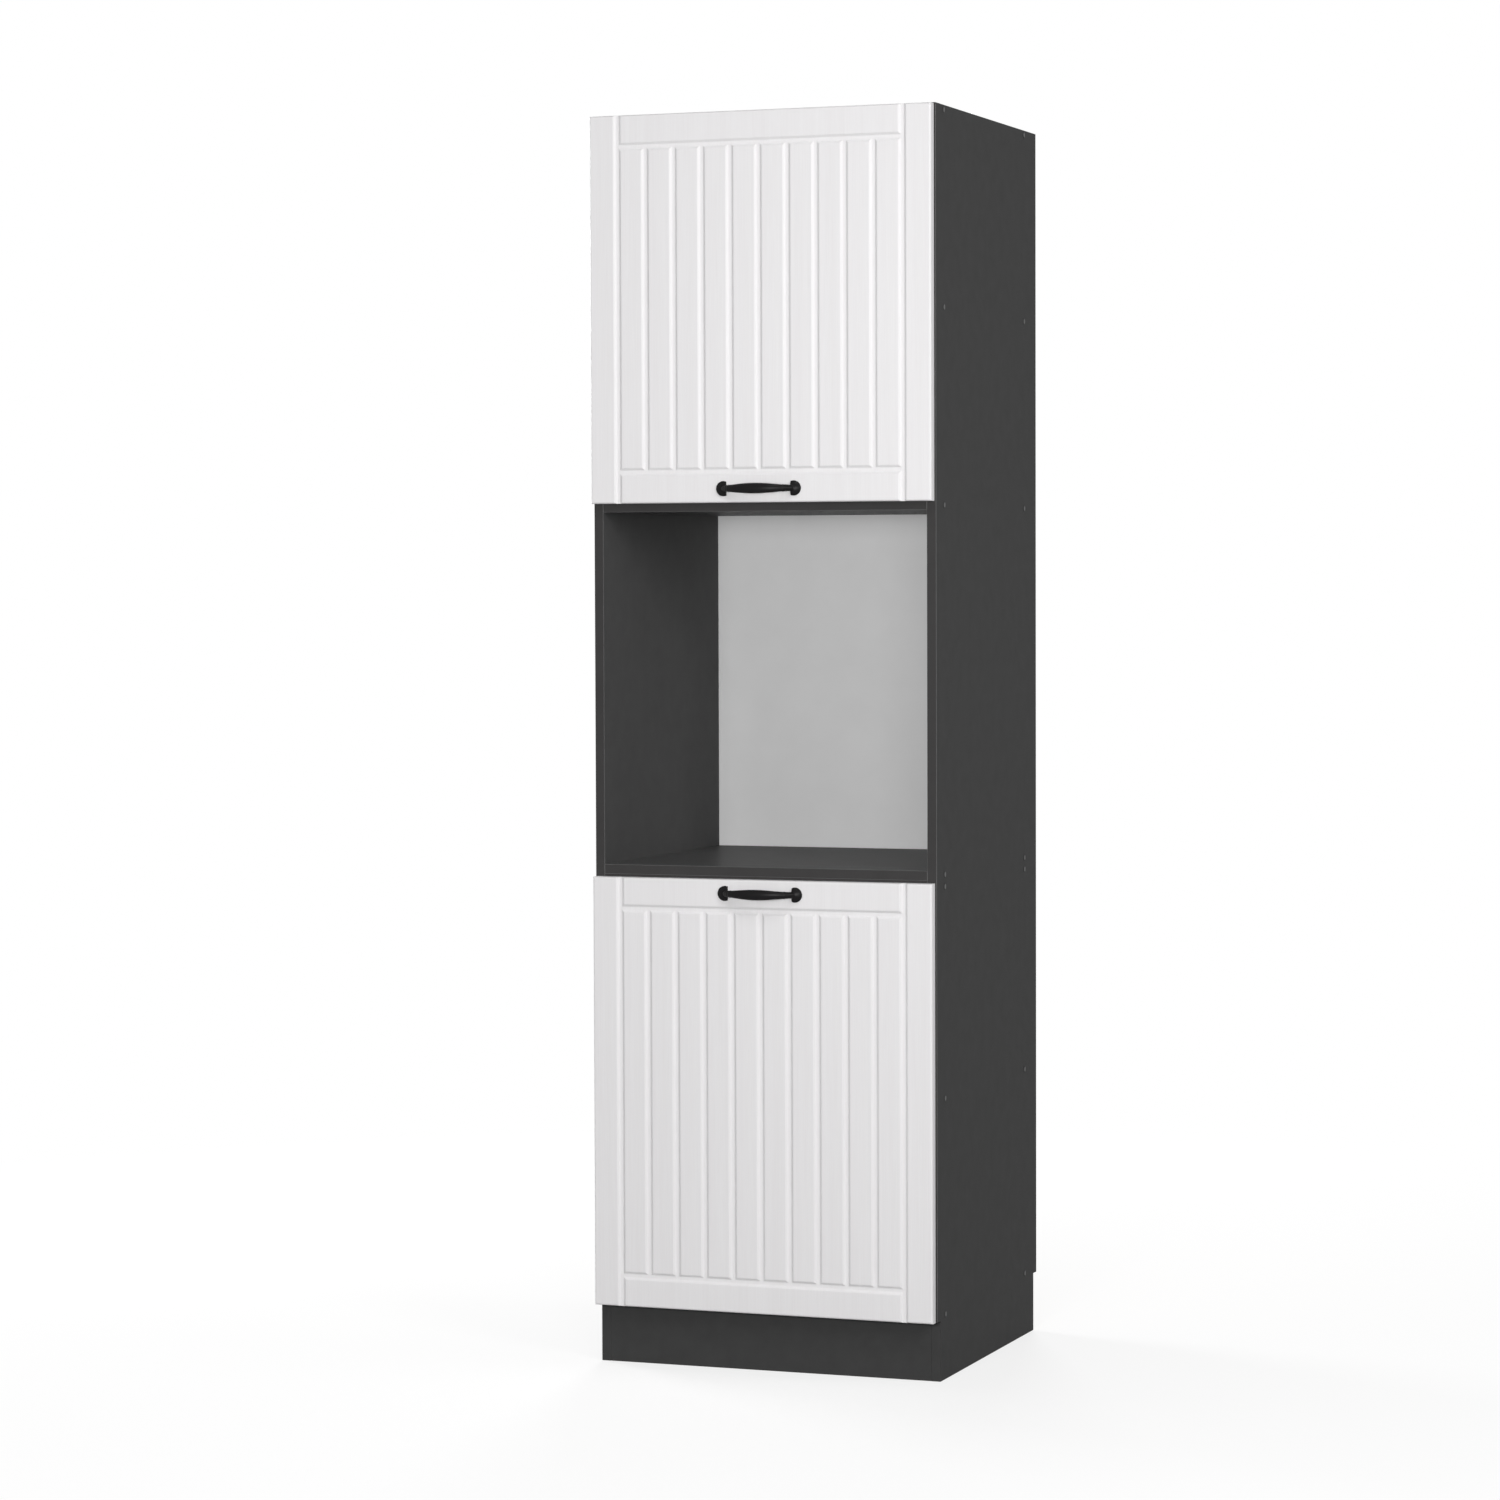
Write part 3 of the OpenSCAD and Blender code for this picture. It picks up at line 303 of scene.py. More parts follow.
def frozen(piece):
    """Turns the evaluated mesh of a piece into its plain mesh and removes the modifiers."""
    depsgraph = bpy.context.evaluated_depsgraph_get()
    mesh = bpy.data.meshes.new_from_object(piece.evaluated_get(depsgraph))
    piece.modifiers.clear()
    piece.data = mesh


def grown(piece, tree, values):
    """Runs a node tree on a piece with the named values, set by the sockets' identifiers."""
    modifier = piece.modifiers.new(tree.name, "NODES")
    modifier.node_group = tree
    for item in tree.interface.items_tree:
        if item.in_out == "INPUT" and item.name in values:
            modifier[item.identifier] = values[item.name]
    frozen(piece)


def skin(shape, loops):
    """Joins rings of points to a tube with closed ends."""
    for a, b in zip(loops, loops[1:]):
        for j in range(len(a)):
            after = (j + 1) % len(a)
            shape.faces.new([a[j], a[after], b[after], b[j]])
    shape.faces.new(loops[0][::-1])
    shape.faces.new(loops[-1])
    bmesh.ops.recalc_face_normals(shape, faces=shape.faces[:])


def prism(outline, axis, low, high):
    """A closed outline pushed along an axis from low to high, its faces in the same order each run."""
    others = [i for i in range(3) if i != axis]
    shape = bmesh.new()
    loops = []
    for level in (low, high):
        loops.append([])
        for point in outline:
            place = [0, 0, 0]
            place[others[0]], place[others[1]], place[axis] = point[0], point[1], level
            loops[-1].append(shape.verts.new(place))
    skin(shape, loops)
    return shape


def in_order(shape):
    """The same shape, points and faces sorted: a bevel may give them in another order each run."""
    points = sorted(shape.verts, key=lambda vert: vert.co[:])
    rank = {vert: i for i, vert in enumerate(points)}
    rings = []
    for face in shape.faces:
        ring = [rank[vert] for vert in face.verts]
        first = ring.index(min(ring))
        rings.append(ring[first:] + ring[:first])
    fresh = bmesh.new()
    corners = [fresh.verts.new(vert.co) for vert in points]
    for ring in sorted(rings):
        fresh.faces.new([corners[i] for i in ring])
    shape.free()
    return fresh


def cut_away(piece, cutters):
    """Takes the cutters' volumes out of a piece."""
    for cutter in cutters:
        modifier = piece.modifiers.new("cut", "BOOLEAN")
        modifier.operation, modifier.solver, modifier.object = "DIFFERENCE", "EXACT", cutter
    frozen(piece)
    for cutter in cutters:
        bpy.data.objects.remove(cutter)


def hand_over(piece, slot, body, *nodes):
    """Hides the solids a finished piece stands for and hangs it on the body it rides on; the slot is not
    used.
    """
    if nodes:
        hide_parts(*nodes)
    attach(piece, body)


# Carcass
BOARD_FINISHES = (graphite, graphite_painted_light_inside, graphite_band, arris_painted_highlight, chipboard)
PAINTED_LIGHT_INSIDE, BAND, ARRIS, SAWN = range(1, 5)


def eased(shape, width):
    """The shape with all its edges broken, as a few strokes of fine abrasive do."""
    bmesh.ops.bevel(shape, geom=shape.edges[:], offset=width, segments=2, profile=0.5, affect="EDGES")
    return in_order(shape)


def board(node, outline, axis, low, high, banded=True, grooved=False):
    """A chipboard panel with eased edges: faces melamine, lightened on inner and level faces as painted
    light, front edge banded, rear and foot sawn.
    """
    shape = eased(prism(outline, axis, low, high), EASED_EDGE)
    band_end = min(v.co.y for v in shape.verts) + (EDGE_BAND if banded else 0)
    bmesh.ops.bisect_plane(shape, geom=shape.verts[:] + shape.edges[:] + shape.faces[:],
                           plane_co=(0, band_end, 0), plane_no=(0, 1, 0))
    piece = from_bmesh(node + "_panel", shape, graphite)
    smooth_up_to(piece, SHARP_ON_BOARDS)
    for material in BOARD_FINISHES[1:]:
        piece.data.materials.append(material)
    if grooved:
        side = 1 if low > 0 else -1
        left, right = sorted([side * (INNER - OVERCUT), side * (INNER + SHEET_GROOVE)])
        ahead, behind = BACK - SHEET_PLAY, BACK + SHEET + SHEET_PLAY
        groove = prism([(left, ahead), (right, ahead), (right, behind), (left, behind)],
                       2, BOTTOM - OVERCUT, TOP + OVERCUT)
        cut_away(piece, [from_bmesh("sheet_groove", groove, graphite)])
    for face in piece.data.polygons:
        centre, normal = face.center, face.normal
        rear = normal.y > MOSTLY and centre.y > REAR - REAR_NOTCH - 2 * EASED_EDGE
        foot = normal.z < -MOSTLY and centre.z < 2 * EASED_EDGE
        # Inner faces and all level faces take the lighter graphite, drawn as painted light
        lightened_inside = abs(normal.z) > NEARLY or abs(centre.x) < INNER + HAIR
        if centre.y < band_end:
            # The front band's arrises take the pale graphite drawn as a painted highlight
            face.material_index = BAND if normal.y < -SQUARELY else ARRIS
        elif rear or foot:
            face.material_index = SAWN
        elif banded and lightened_inside:
            face.material_index = PAINTED_LIGHT_INSIDE
    # Normals weighted by area keep the broad faces flat beside the eased edges
    weighted = piece.modifiers.new("flat faces", "WEIGHTED_NORMAL")
    weighted.keep_sharp = True
    frozen(piece)
    hand_over(piece, "graphite_board", "carcass", node)


side_outline = [
    (FRONT + TOE, 0), (REAR - REAR_NOTCH, 0), (REAR - REAR_NOTCH, BOTTOM), (REAR, BOTTOM),
    (REAR, TOP), (FRONT, TOP), (FRONT, BOTTOM), (FRONT + TOE, BOTTOM),
]
board("side_left", side_outline, 0, -OUTER, -INNER, grooved=True)
board("side_right", side_outline, 0, INNER, OUTER, grooved=True)
for node in ("top_panel", "upper_shelf", "niche_top", "niche_floor", "lower_top", "lower_shelf",
             "bottom_panel", "plinth_board"):
    low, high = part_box(node)
    outline = [(low.x, low.y), (high.x, low.y), (high.x, high.y), (low.x, high.y)]
    board(node, outline, 2, low.z, high.z, banded=node != "plinth_board")

# A strip closes the joint between the lower box and the niche's floor
STRIP_DEPTH = 20 * MM
STRIP_SETBACK = 0.1 * MM
STRIP_EDGE = 0.2 * MM
joint_low, joint_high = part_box("lower_top")[1].z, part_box("niche_floor")[0].z
strip_front, strip_rear = FRONT + STRIP_SETBACK, FRONT + STRIP_DEPTH
strip = prism([(-INNER, strip_front), (INNER, strip_front), (INNER, strip_rear), (-INNER, strip_rear)],
              2, joint_low, joint_high)
strip = eased(strip, STRIP_EDGE)
hand_over(from_bmesh("niche_floor_joint_strip", strip, graphite_band), "graphite_board", "carcass")


# Doors
DOOR_SIZES = {
    "Stile": 49 * MM, "Rail": 52 * MM, "Planks": 10, "Groove": 13 * MM, "Groove floor": 6 * MM,
    "Groove depth": 3 * MM, "Soft edge": 1.5 * MM, "Edge radius": 3 * MM,
}
# Distances in mm from a groove's middle at which the slab is split
GROOVE_STATIONS = [0, 1.0, 1.7, 2.3, 2.9, 3.5, 4.1, 4.75, 5.4, 6.0, 6.6, 7.2, 7.8, 8.4, 8.9]
# Shares of the edge radius at which the slab is split
EDGE_STATIONS = [1 - math.cos(math.radians(a)) for a in range(0, 91, 15)] + [1.15]
# Eighths of the door's height at which the planks are split too
PLANK_SPLITS = range(2, 7)
# Points nearer to the slab's front than this are moved by the milling
FRONT_LAYER = 0.5 * MM


def milled_front_tree():
    """Mills a slab's front: plank, stile and rail grooves with soft shoulders, rounded outer edges."""
    tree = bpy.data.node_groups.new("milled_plank_front", "GeometryNodeTree")
    tree.interface.new_socket("Front", in_out="OUTPUT", socket_type="NodeSocketGeometry")
    tree.interface.new_socket("Slab", in_out="INPUT", socket_type="NodeSocketGeometry")
    for name in ("Width", "Height", *DOOR_SIZES):
        kind = "NodeSocketInt" if name == "Planks" else "NodeSocketFloat"
        tree.interface.new_socket(name, in_out="INPUT", socket_type=kind)
    tree.interface.new_socket("Finish", in_out="INPUT", socket_type="NodeSocketMaterial")
    given = add(tree, "NodeGroupInput").outputs
    number = "ShaderNodeMath"

    # How far a point lies from the door's upright middle line and from its middle height
    position = add(tree, "GeometryNodeInputPosition")
    across, into, up = add(tree, "ShaderNodeSeparateXYZ", {0: position}).outputs
    half_width = add(tree, number, {0: given["Width"], 1: 0.5}, operation="MULTIPLY")
    half_height = add(tree, number, {0: given["Height"], 1: 0.5}, operation="MULTIPLY")
    above = add(tree, number, {0: up, 1: half_height}, operation="SUBTRACT")
    aside = add(tree, number, {0: across}, operation="ABSOLUTE")
    off_middle = add(tree, number, {0: above}, operation="ABSOLUTE")
    reach = add(tree, number, {0: half_width, 1: given["Stile"]}, operation="SUBTRACT")
    rise = add(tree, number, {0: half_height, 1: given["Rail"]}, operation="SUBTRACT")

    # Distances to the nearest plank line, to the stiles' lines and to the rails' lines
    span = add(tree, number, {0: reach, 1: 2}, operation="MULTIPLY")
    pitch = add(tree, number, {0: span, 1: given["Planks"]}, operation="DIVIDE")
    half_pitch = add(tree, number, {0: pitch, 1: 0.5}, operation="MULTIPLY")
    from_first = add(tree, number, {0: across, 1: reach}, operation="ADD")
    plank_gap = add(tree, number, {0: from_first, 1: half_pitch}, operation="PINGPONG")
    stile_side = add(tree, number, {0: aside, 1: reach}, operation="SUBTRACT")
    stile_gap = add(tree, number, {0: stile_side}, operation="ABSOLUTE")
    rail_side = add(tree, number, {0: off_middle, 1: rise}, operation="SUBTRACT")
    rail_gap = add(tree, number, {0: rail_side}, operation="ABSOLUTE")

    # The cutter's profile: a flat floor, sloping walls, and a soft shoulder and foot
    mouth = add(tree, number, {0: given["Groove"], 1: 0.5}, operation="MULTIPLY")
    floor_edge = add(tree, number, {0: given["Groove floor"], 1: 0.5}, operation="MULTIPLY")
    depths = []
    for gap in (plank_gap, stile_gap, rail_gap):
        wall = add(tree, "ShaderNodeMapRange",
                   {"Value": gap, "From Min": floor_edge, "From Max": mouth,
                    "To Min": given["Groove depth"], "To Max": 0}, clamp=False)
        footed = add(tree, number, {0: wall, 1: given["Groove depth"], 2: given["Soft edge"]},
                     operation="SMOOTH_MIN")
        depths.append(add(tree, number, {0: footed, 1: 0, 2: given["Soft edge"]},
                          operation="SMOOTH_MAX"))
    plank_depth, stile_depth, rail_depth = depths

    # Plank lines end at the rails, rail lines end at the stiles
    within_stiles = add(tree, number, {0: stile_side, 1: 0}, operation="LESS_THAN")
    within_rails = add(tree, number, {0: rail_side, 1: 0}, operation="LESS_THAN")
    in_panel = add(tree, number, {0: within_stiles, 1: within_rails}, operation="MULTIPLY")
    planks = add(tree, number, {0: plank_depth, 1: in_panel}, operation="MULTIPLY")
    rails = add(tree, number, {0: rail_depth, 1: within_stiles}, operation="MULTIPLY")
    lines = add(tree, number, {0: planks, 1: rails}, operation="MAXIMUM")
    milled = add(tree, number, {0: lines, 1: stile_depth}, operation="MAXIMUM")

    # Outer edges: a quarter round, mitred at the corners
    to_side = add(tree, number, {0: half_width, 1: aside}, operation="SUBTRACT")
    to_end = add(tree, number, {0: half_height, 1: off_middle}, operation="SUBTRACT")
    to_edge = add(tree, number, {0: to_side, 1: to_end}, operation="MINIMUM")
    radius = given["Edge radius"]
    past = add(tree, "ShaderNodeMapRange",
               {"Value": to_edge, "From Min": 0, "From Max": radius, "To Min": radius, "To Max": 0})
    radius_square = add(tree, number, {0: radius, 1: radius}, operation="MULTIPLY")
    past_square = add(tree, number, {0: past, 1: past}, operation="MULTIPLY")
    left = add(tree, number, {0: radius_square, 1: past_square}, operation="SUBTRACT")
    root = add(tree, number, {0: left}, operation="SQRT")
    rounded = add(tree, number, {0: radius, 1: root}, operation="SUBTRACT")

    depth = add(tree, number, {0: milled, 1: rounded}, operation="MAXIMUM")
    is_front = add(tree, number, {0: into, 1: FRONT_LAYER}, operation="LESS_THAN")
    moved = add(tree, "GeometryNodeSetPosition",
                {"Geometry": given["Slab"], "Selection": is_front,
                 "Offset": add(tree, "ShaderNodeCombineXYZ", {1: depth})})
    solid = add(tree, "GeometryNodeRealizeInstances", {0: moved})
    dressed = add(tree, "GeometryNodeSetMaterial", {"Geometry": solid, "Material": given["Finish"]})
    add(tree, "NodeGroupOutput", {0: dressed})
    return tree


def stations(length, centres):
    """Places across a door: close together at its edges and at each groove, for one sheet of faces."""
    places = [DOOR_SIZES["Edge radius"] * e for e in EDGE_STATIONS]
    places += [length - p for p in places]
    for centre in centres:
        places += [centre + side * s * MM for s in GROOVE_STATIONS for side in (-1, 1)]
    return np.unique(np.round(places, 6))


def door_slab(width, height, thickness):
    """A closed slab with its front at y 0 split at the stations, side faces and one back face."""
    reach = width / 2 - DOOR_SIZES["Stile"]
    pitch = 2 * reach / DOOR_SIZES["Planks"]
    lines = [width / 2 - reach + i * pitch for i in range(DOOR_SIZES["Planks"] + 1)]
    columns = stations(width, lines) - width / 2
    rows = stations(height, [DOOR_SIZES["Rail"], height - DOOR_SIZES["Rail"]])
    rows = np.sort(np.append(rows, [height * part / 8 for part in PLANK_SPLITS]))
    shape = bmesh.new()
    grid = [[shape.verts.new((x, 0, z)) for z in rows] for x in columns]
    for i in range(len(columns) - 1):
        for j in range(len(rows) - 1):
            shape.faces.new([grid[i][j], grid[i + 1][j], grid[i + 1][j + 1], grid[i][j + 1]])
    last_x, last_z = len(columns) - 1, len(rows) - 1
    ring = [grid[i][0] for i in range(last_x)] + [grid[last_x][j] for j in range(last_z)]
    ring += [grid[i][last_z] for i in range(last_x, 0, -1)]
    ring += [grid[0][j] for j in range(last_z, 0, -1)]
    back = [shape.verts.new((v.co.x, thickness, v.co.z)) for v in ring]
    for i, vert in enumerate(ring):
        after = (i + 1) % len(ring)
        shape.faces.new([vert, back[i], back[after], ring[after]])
    shape.faces.new(back[::-1])
    bmesh.ops.recalc_face_normals(shape, faces=shape.faces[:])
    return shape


CUP_RADIUS = 17.55 * MM
CUP_DEPTH = 11.6 * MM
CUP_FROM_EDGE = 20.5 * MM
UPPER_CUP_X = 198 * MM
LOWER_CUP_FROM_END = 110 * MM


def cup_bore(x, z, door_back):
    """A cutter for the round bore of a hinge cup, from just behind the door's back."""
    shape = bmesh.new()
    bmesh.ops.create_cone(shape, cap_ends=True, segments=48, radius1=CUP_RADIUS, radius2=CUP_RADIUS,
                          depth=CUP_DEPTH + OVERCUT)
    shift = Matrix.Translation((x, door_back - (CUP_DEPTH - OVERCUT) / 2, z))
    shape.transform(shift @ Matrix.Rotation(math.radians(90), 4, "X"))
    return from_bmesh("cup_bore", shape, front_white)


front_tree = milled_front_tree()


def door(name, cup_places):
    """A milled door with the bores of its hinge cups in the back."""
    low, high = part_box(name)
    width, height, thickness = high.x - low.x, high.z - low.z, high.y - low.y
    piece = from_bmesh(name + "_front", door_slab(width, height, thickness), front_white)
    grown(piece, front_tree, {"Width": width, "Height": height, "Finish": front_white, **DOOR_SIZES})
    piece.data.transform(Matrix.Translation(((low.x + high.x) / 2, low.y, low.z)))
    cut_away(piece, [cup_bore(x, z, high.y) for x, z in cup_places])
    smooth_up_to(piece, SHARP_ON_DOORS)
    hand_over(piece, "white_front", name, name)


upper_cup_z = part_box("upper_door")[1].z - CUP_FROM_EDGE
lower_low, lower_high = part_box("lower_door")
door("upper_door", [(side * UPPER_CUP_X, upper_cup_z) for side in (-1, 1)])
door("lower_door", [(lower_low.x + CUP_FROM_EDGE, z)
                    for z in (lower_low.z + LOWER_CUP_FROM_END, lower_high.z - LOWER_CUP_FROM_END)])


# Handles: spacing of the screws, the bow's reach and section, the rosettes' radius and two heights
SPACING = 128 * MM
REACH = 22 * MM
GRIP_HEIGHT = 17.3 * MM
NECK_HEIGHT = 10.2 * MM
GRIP_DEPTH = 9 * MM
ROSETTE = 12.5 * MM
CROWN = 7 * MM
RIM = 3 * MM
# The bow ends this far inside the screws' lines and below the crowns, where the rosettes hide it
BOW_INSET, BOW_SINK = 4 * MM, 3.2 * MM
# Powers that make the bow flat in the middle, steep at its ends, and fuller towards the grip
BOW_FLATNESS, BOW_STEEPNESS, BOW_SWELL = 2.6, 0.8, 1.6
# Shares of the half length: where the bow stops, and where its lean is last measured and over what step
BOW_TIP, LEAN_TIP, LEAN_STEP = 0.999, 0.985, 0.01
BOW_RINGS, BOW_SIDES = 160, 40
# Two collars near each rosette: share of the half length, rise
COLLARS = ((0.79, 0.5 * MM), (0.86, 0.35 * MM))
COLLAR_WIDTH = 0.018


def handle_bar(shape):
    """The bow: swelling in height to the middle, with two small collars near each rosette."""
    end_x, end_y = SPACING / 2 - BOW_INSET, CROWN - BOW_SINK

    def line(t):
        return end_y + (REACH - end_y) * (1 - abs(t) ** BOW_FLATNESS) ** BOW_STEEPNESS

    loops = []
    for i in range(BOW_RINGS + 1):
        t = max(-BOW_TIP, min(BOW_TIP, math.sin(math.pi / 2 * (2 * i / BOW_RINGS - 1))))
        inside = max(-LEAN_TIP, min(LEAN_TIP, t))
        climb = line(inside + LEAN_STEP) - line(inside - LEAN_STEP)
        lean = math.atan(climb / (2 * LEAN_STEP * end_x))
        collar = sum(high * math.exp(-((abs(t) - place) / COLLAR_WIDTH) ** 2) for place, high in COLLARS)
        swell = (GRIP_HEIGHT - NECK_HEIGHT) * math.cos(math.pi / 2 * t) ** BOW_SWELL
        half_z = (NECK_HEIGHT + swell) / 2 + collar
        loop = []
        for j in range(BOW_SIDES):
            angle = 2 * math.pi * j / BOW_SIDES
            out = (GRIP_DEPTH / 2 + collar) * math.cos(angle)
            loop.append(shape.verts.new((end_x * t - out * math.sin(lean),
                                         -line(t) - out * math.cos(lean), half_z * math.sin(angle))))
        loops.append(loop)
    skin(shape, loops)


# A rosette is cut straight this far from its middle, which lies this far inside its screw's line
ROSETTE_CUT, ROSETTE_SHIFT = 5 * MM, 2.5 * MM
ROSETTE_RINGS, ROSETTE_SIDES = 14, 72
# A power that sets the dome's rings closer together at its rim
ROSETTE_SPREAD = 1.3


def rosette(shape, side):
    """A domed foot, round outside and cut straight on the side of the bow."""
    rise = CROWN - RIM
    dome = (ROSETTE ** 2 + rise ** 2) / (2 * rise)
    profile = [(ROSETTE, 0)]
    for i in range(ROSETTE_RINGS):
        r = ROSETTE * (1 - (i / ROSETTE_RINGS) ** ROSETTE_SPREAD)
        profile.append((r, CROWN - dome + math.sqrt(dome ** 2 - r ** 2)))
    part = bmesh.new()
    angles = [2 * math.pi * j / ROSETTE_SIDES for j in range(ROSETTE_SIDES)]
    skin(part, [[part.verts.new((r * math.cos(a), -h, r * math.sin(a))) for a in angles]
                for r, h in profile])
    cut = bmesh.ops.bisect_plane(part, geom=part.verts[:] + part.edges[:] + part.faces[:],
                                 plane_co=(-side * ROSETTE_CUT, 0, 0), plane_no=(-side, 0, 0),
                                 clear_outer=True)
    rim = [item for item in cut["geom_cut"] if isinstance(item, bmesh.types.BMEdge)]
    bmesh.ops.holes_fill(part, edges=rim)
    bmesh.ops.recalc_face_normals(part, faces=part.faces[:])
    part.transform(Matrix.Translation((side * (SPACING / 2 - ROSETTE_SHIFT), 0, 0)))
    mesh = bpy.data.meshes.new("rosette")
    part.to_mesh(mesh)
    part.free()
    shape.from_mesh(mesh)
    bpy.data.meshes.remove(mesh)


CASTING_GRAIN = 0.45 * MM
POWDER_PASSES = 4


def handle(node, body):
    """One casting: bow and rosettes grown together, then eased like powder over a fillet."""
    low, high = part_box(node)
    shape = bmesh.new()
    handle_bar(shape)
    for side in (-1, 1):
        rosette(shape, side)
    piece = from_bmesh(node + "_casting", shape, black_cast)
    joined = piece.modifiers.new("grown together", "REMESH")
    joined.mode, joined.voxel_size, joined.use_smooth_shade = "VOXEL", CASTING_GRAIN, True
    powder = piece.modifiers.new("eased", "SMOOTH")
    powder.factor, powder.iterations = 0.5, POWDER_PASSES
    frozen(piece)
    piece.data.transform(Matrix.Translation((0, high.y, (low.z + high.z) / 2)))
    piece.data.shade_smooth()
    hand_over(piece, "black_cast", body, node)


handle("upper_handle", "upper_door")
handle("lower_handle", "lower_door")


# Cover caps
CAP_SIZES = {"Diameter": 12 * MM, "Crown": 8.4 * MM, "Thickness": 0.8 * MM, "Rim drop": 0.45 * MM}
# Distances of the two drillings from the cabinet's front
CAP_DEPTHS = (43 * MM, 490 * MM)
CAP_SIDES, CAP_RINGS = 40, 6
# The crown falls to the rim between these shares of its radius
FALL_START, FALL_END = 0.95, 1.3


def cap_tree():
    """Puts a cap with a raised crown and a thin rim on each point of the drilling pattern; the rim takes
    a darker finish as painted shade.
    """
    tree = bpy.data.node_groups.new("screw_cover_caps", "GeometryNodeTree")
    tree.interface.new_socket("Caps", in_out="OUTPUT", socket_type="NodeSocketGeometry")
    for name, kind in (("Points", "Geometry"), ("Diameter", "Float"), ("Crown", "Float"),
                       ("Thickness", "Float"), ("Rim drop", "Float"), ("Turn", "Rotation"),
                       ("Finish", "Material"), ("Rim painted shade", "Material")):
        tree.interface.new_socket(name, in_out="INPUT", socket_type="NodeSocket" + kind)
    given = add(tree, "NodeGroupInput").outputs
    number = "ShaderNodeMath"
    radius = add(tree, number, {0: given["Diameter"], 1: 0.5}, operation="MULTIPLY")
    disc = add(tree, "GeometryNodeMeshCylinder",
               {"Vertices": CAP_SIDES, "Side Segments": 1, "Fill Segments": CAP_RINGS, "Radius": radius,
                "Depth": given["Thickness"]})
    place = add(tree, "GeometryNodeInputPosition")
    height = add(tree, "ShaderNodeSeparateXYZ", {0: place}).outputs["Z"]
    outward = add(tree, "ShaderNodeVectorMath", {0: place}, operation="LENGTH").outputs["Value"]
    crown = add(tree, number, {0: given["Crown"], 1: 0.5}, operation="MULTIPLY")
    fall_start = add(tree, number, {0: crown, 1: FALL_START}, operation="MULTIPLY")
    fall_end = add(tree, number, {0: crown, 1: FALL_END}, operation="MULTIPLY")
    drop = add(tree, "ShaderNodeMapRange",
               {"Value": outward, "From Min": fall_start, "From Max": fall_end, "To Min": 0,
                "To Max": given["Rim drop"]})
    down = add(tree, number, {0: drop, 1: -1}, operation="MULTIPLY")
    is_top = add(tree, number, {0: height, 1: 0}, operation="GREATER_THAN")
    pressed = add(tree, "GeometryNodeSetPosition",
                  {"Geometry": disc, "Selection": is_top,
                   "Offset": add(tree, "ShaderNodeCombineXYZ", {2: down})})
    soft = add(tree, "GeometryNodeSubdivisionSurface",
               {"Mesh": pressed, "Level": 1, "Edge Crease": 0.4})
    set_out = add(tree, "GeometryNodeInstanceOnPoints",
                  {"Points": given["Points"], "Instance": soft, "Rotation": given["Turn"]})
    solid = add(tree, "GeometryNodeRealizeInstances", {0: set_out})
    # Faces further from their drilling than the crown reaches are the rim, darkened as painted shade
    from_drilling = add(tree, "GeometryNodeProximity", {0: given["Points"]}, target_element="POINTS")
    is_shaded_rim = add(tree, number, {0: from_drilling.outputs["Distance"], 1: crown},
                 operation="GREATER_THAN")
    crowned = add(tree, "GeometryNodeSetMaterial", {"Geometry": solid, "Material": given["Finish"]})
    shaded_rim_caps = add(tree, "GeometryNodeSetMaterial",
                 {"Geometry": crowned, "Selection": is_shaded_rim, "Material": given["Rim painted shade"]})
    add(tree, "NodeGroupOutput", {0: shaded_rim_caps})
    return tree


level_boards = ("bottom_panel", "lower_shelf", "lower_top", "niche_floor", "niche_top", "upper_shelf",
                "top_panel")
cap_heights = [(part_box(n)[0].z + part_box(n)[1].z) / 2 for n in level_boards]
caps_tree = cap_tree()
for side, node in ((-1, "screw_caps_left"), (1, "screw_caps_right")):
    drilling = bmesh.new()
    for z in cap_heights:
        for depth in CAP_DEPTHS:
            drilling.verts.new((side * (OUTER + CAP_SIZES["Thickness"] / 2), FRONT + depth, z))
    caps = from_bmesh(node + "_domed", drilling, cap_plastic)
    # The rims get the dark board graphite as painted shade around each cap
    grown(caps, caps_tree, {"Turn": (0, side * math.radians(90), 0), "Finish": cap_plastic,
                            "Rim painted shade": graphite, **CAP_SIZES})
    hand_over(caps, "cap_plastic", "carcass", node)


# Finishes of the solids that are carried over
finishes = {
    sheet_board: ("back_upper", "back_lower"),
    zinc_plated: (
        "plinth_brackets", "plinth_screws", "back_screws", "assembly_screws", "wall_brackets",
        "wall_bracket_screws", "upper_hinge_plate_screws", "upper_hinge_adjusters",
        "upper_hinge_cup_screws", "lower_hinge_plate_screws", "lower_hinge_adjusters",
        "lower_hinge_cup_screws", "strut_side_screws", "strut_door_screws", "upper_handle_screws",
        "lower_handle_screws", "strut_side_brackets", "strut_door_brackets",
    ),
    nickel_plated: (
        "upper_hinge_plates", "upper_hinge_arms", "upper_hinge_cups", "lower_hinge_plates",
        "lower_hinge_arms", "lower_hinge_cups",
    ),
    blackened: ("upper_hinge_pins", "lower_hinge_pins"),
    painted_tube: ("strut_tube_left", "strut_tube_right"),
    chromed: ("strut_rod_left", "strut_rod_right"),
    bumper_plastic: ("upper_door_bumpers", "lower_door_bumpers"),
}
for material, nodes in finishes.items():
    for node in nodes:
        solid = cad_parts[node]
        solid.data.materials.clear()
        solid.data.materials.append(material)


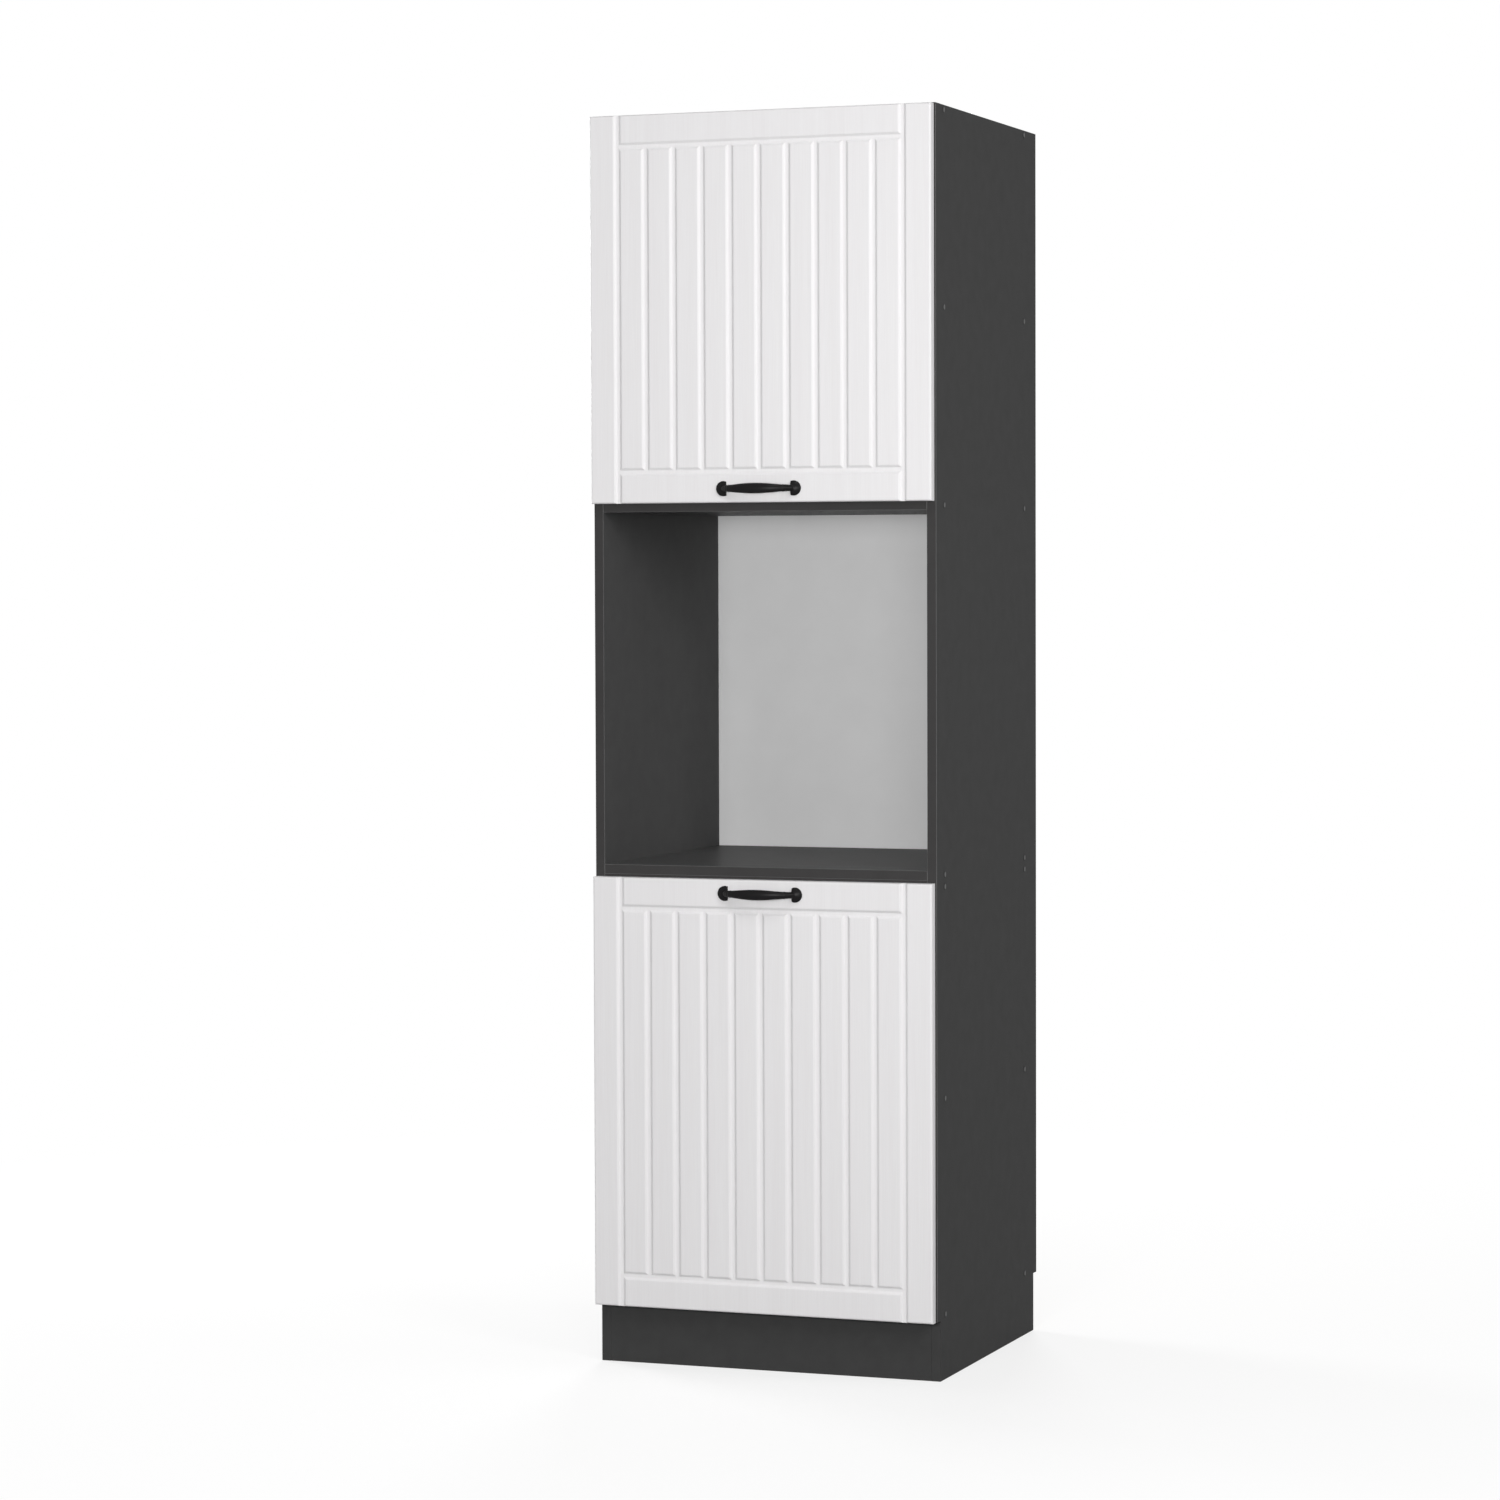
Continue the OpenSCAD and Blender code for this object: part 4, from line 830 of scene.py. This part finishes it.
# Floor and surroundings
def shown_white(tree):
    """1 where the camera, a reflection or a see-through piece looks at the surroundings."""
    rays = add(tree, "ShaderNodeLightPath").outputs
    direct = add(tree, "ShaderNodeMath", {0: rays["Is Camera Ray"], 1: rays["Is Glossy Ray"]},
                 operation="MAXIMUM")
    return add(tree, "ShaderNodeMath", {0: direct, 1: rays["Is Transmission Ray"]}, operation="MAXIMUM")


# The floor's grey where its light bounces to the cabinet
BOUNCE = "#787878"


def studio_floor():
    """Pale floor: shown white, with a quarter of the cabinet's soft shadow near its foot."""
    material, tree = new_material("pale_studio_floor")
    seen = shown_white(tree)
    pale = add(tree, "ShaderNodeMix", {0: seen, 6: srgb(BOUNCE), 7: srgb("#ffffff")}, data_type="RGBA")
    matt = add(tree, "ShaderNodeBsdfPrincipled", {"Base Color": pale.outputs[2], "Roughness": 0.95})
    # Up to 0.4 m from the middle a quarter of the shadow stays; from 3 m on the floor is wholly white
    here = add(tree, "ShaderNodeTexCoord").outputs["Object"]
    far = add(tree, "ShaderNodeVectorMath", {0: here}, operation="LENGTH").outputs["Value"]
    share = add(tree, "ShaderNodeMapRange",
                {"Value": far, "From Min": 0.4, "From Max": 3, "To Min": 0.75, "To Max": 1})
    lit = add(tree, "ShaderNodeMath", {0: seen, 1: share}, operation="MULTIPLY")
    glow = add(tree, "ShaderNodeEmission", {"Color": (1, 1, 1, 1), "Strength": 1})
    mixed = add(tree, "ShaderNodeMixShader", {0: lit, 1: matt, 2: glow})
    add(tree, "ShaderNodeOutputMaterial", {"Surface": mixed})
    return material


FLOOR_REACH = 30
FLOOR_GAP = 0.5 * MM
floor_shape = bmesh.new()
bmesh.ops.create_grid(floor_shape, x_segments=1, y_segments=1, size=FLOOR_REACH)
floor = from_bmesh("studio_floor", floor_shape, studio_floor())
floor.location.z = -FLOOR_GAP
floor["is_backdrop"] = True

# Surroundings: shown plain white, and a weak even light on the cabinet
ROOM_LIGHT = 0.08
world = bpy.data.worlds.new("studio")
bpy.context.scene.world = world
world.use_nodes = True
sky = world.node_tree
sky.nodes.clear()
strength = add(sky, "ShaderNodeMapRange", {"Value": shown_white(sky), "To Min": ROOM_LIGHT, "To Max": 1})
light = add(sky, "ShaderNodeBackground", {"Color": (1, 1, 1, 1), "Strength": strength})
add(sky, "ShaderNodeOutputWorld", {"Surface": light})


def soft_lamp(name, place, target, width, height, power):
    """A rectangular softbox that looks at the target, with its power in watts."""
    lamp = bpy.data.lights.new(name, "AREA")
    lamp.shape, lamp.size, lamp.size_y, lamp.energy = "RECTANGLE", width, height, power
    holder = bpy.data.objects.new(name, lamp)
    bpy.context.scene.collection.objects.link(holder)
    holder.location = place
    holder.rotation_euler = (Vector(target) - Vector(place)).to_track_quat("-Z", "Y").to_euler()


soft_lamp("front_softbox", (1.6, -5.5, 1.45), (0, 0, 1.1), 2.4, 0.8, 85)
soft_lamp("middle_softbox", (0.2, -5.6, 1.2), (0, 0, 1.1), 1.6, 0.8, 76)
soft_lamp("side_softbox", (3.5, -2.9, 2.5), (0.2, 0, 1.3), 1.2, 1.6, 61)
soft_lamp("top_softbox", (0.8, -3.4, 5.6), (0, 0, 1.1), 1.8, 1.2, 54)
soft_lamp("right_softbox", (4.6, 0.5, 2.0), (0.2, 0, 1.1), 1.4, 1.4, 36)
soft_lamp("left_softbox", (-3.8, 1.6, 2.2), (-0.2, 0, 1.1), 1.4, 1.4, 110)
soft_lamp("rear_softbox", (-1.2, 4.6, 2.4), (0, 0, 1.1), 1.4, 1.4, 130)

# Camera at the photograph's viewing angle: turned to the right side, slightly above, in degrees
AZIMUTH, ELEVATION, ROLL = 20.49, 2.28, -0.19
PLACE = (2.509, FRONT - 6.778, 1.322)
# The focal length was fitted in pixels of the photograph
FOCAL_PIXELS, PHOTO_PIXELS = 4382.8, 1500
SENSOR = 36
turn, tip, roll = (math.radians(x) for x in (AZIMUTH, ELEVATION, ROLL))
forward = Vector((-math.sin(turn) * math.cos(tip), math.cos(turn) * math.cos(tip), -math.sin(tip)))
level = Vector((math.cos(turn), math.sin(turn), 0))
down = forward.cross(level)
right = math.cos(roll) * level - math.sin(roll) * down
rolled_down = math.sin(roll) * level + math.cos(roll) * down
camera = bpy.data.objects.new("camera", bpy.data.cameras.new("camera"))
bpy.context.scene.collection.objects.link(camera)
camera.data.lens = FOCAL_PIXELS / PHOTO_PIXELS * SENSOR
camera.data.sensor_width = SENSOR
camera.data.clip_start, camera.data.clip_end = 0.1, 100
axes = Matrix((right, -rolled_down, -forward)).transposed()
camera.matrix_world = Matrix.Translation(PLACE) @ axes.to_4x4()
bpy.context.scene.camera = camera
bpy.context.scene.view_settings.view_transform = "Standard"

low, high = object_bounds()
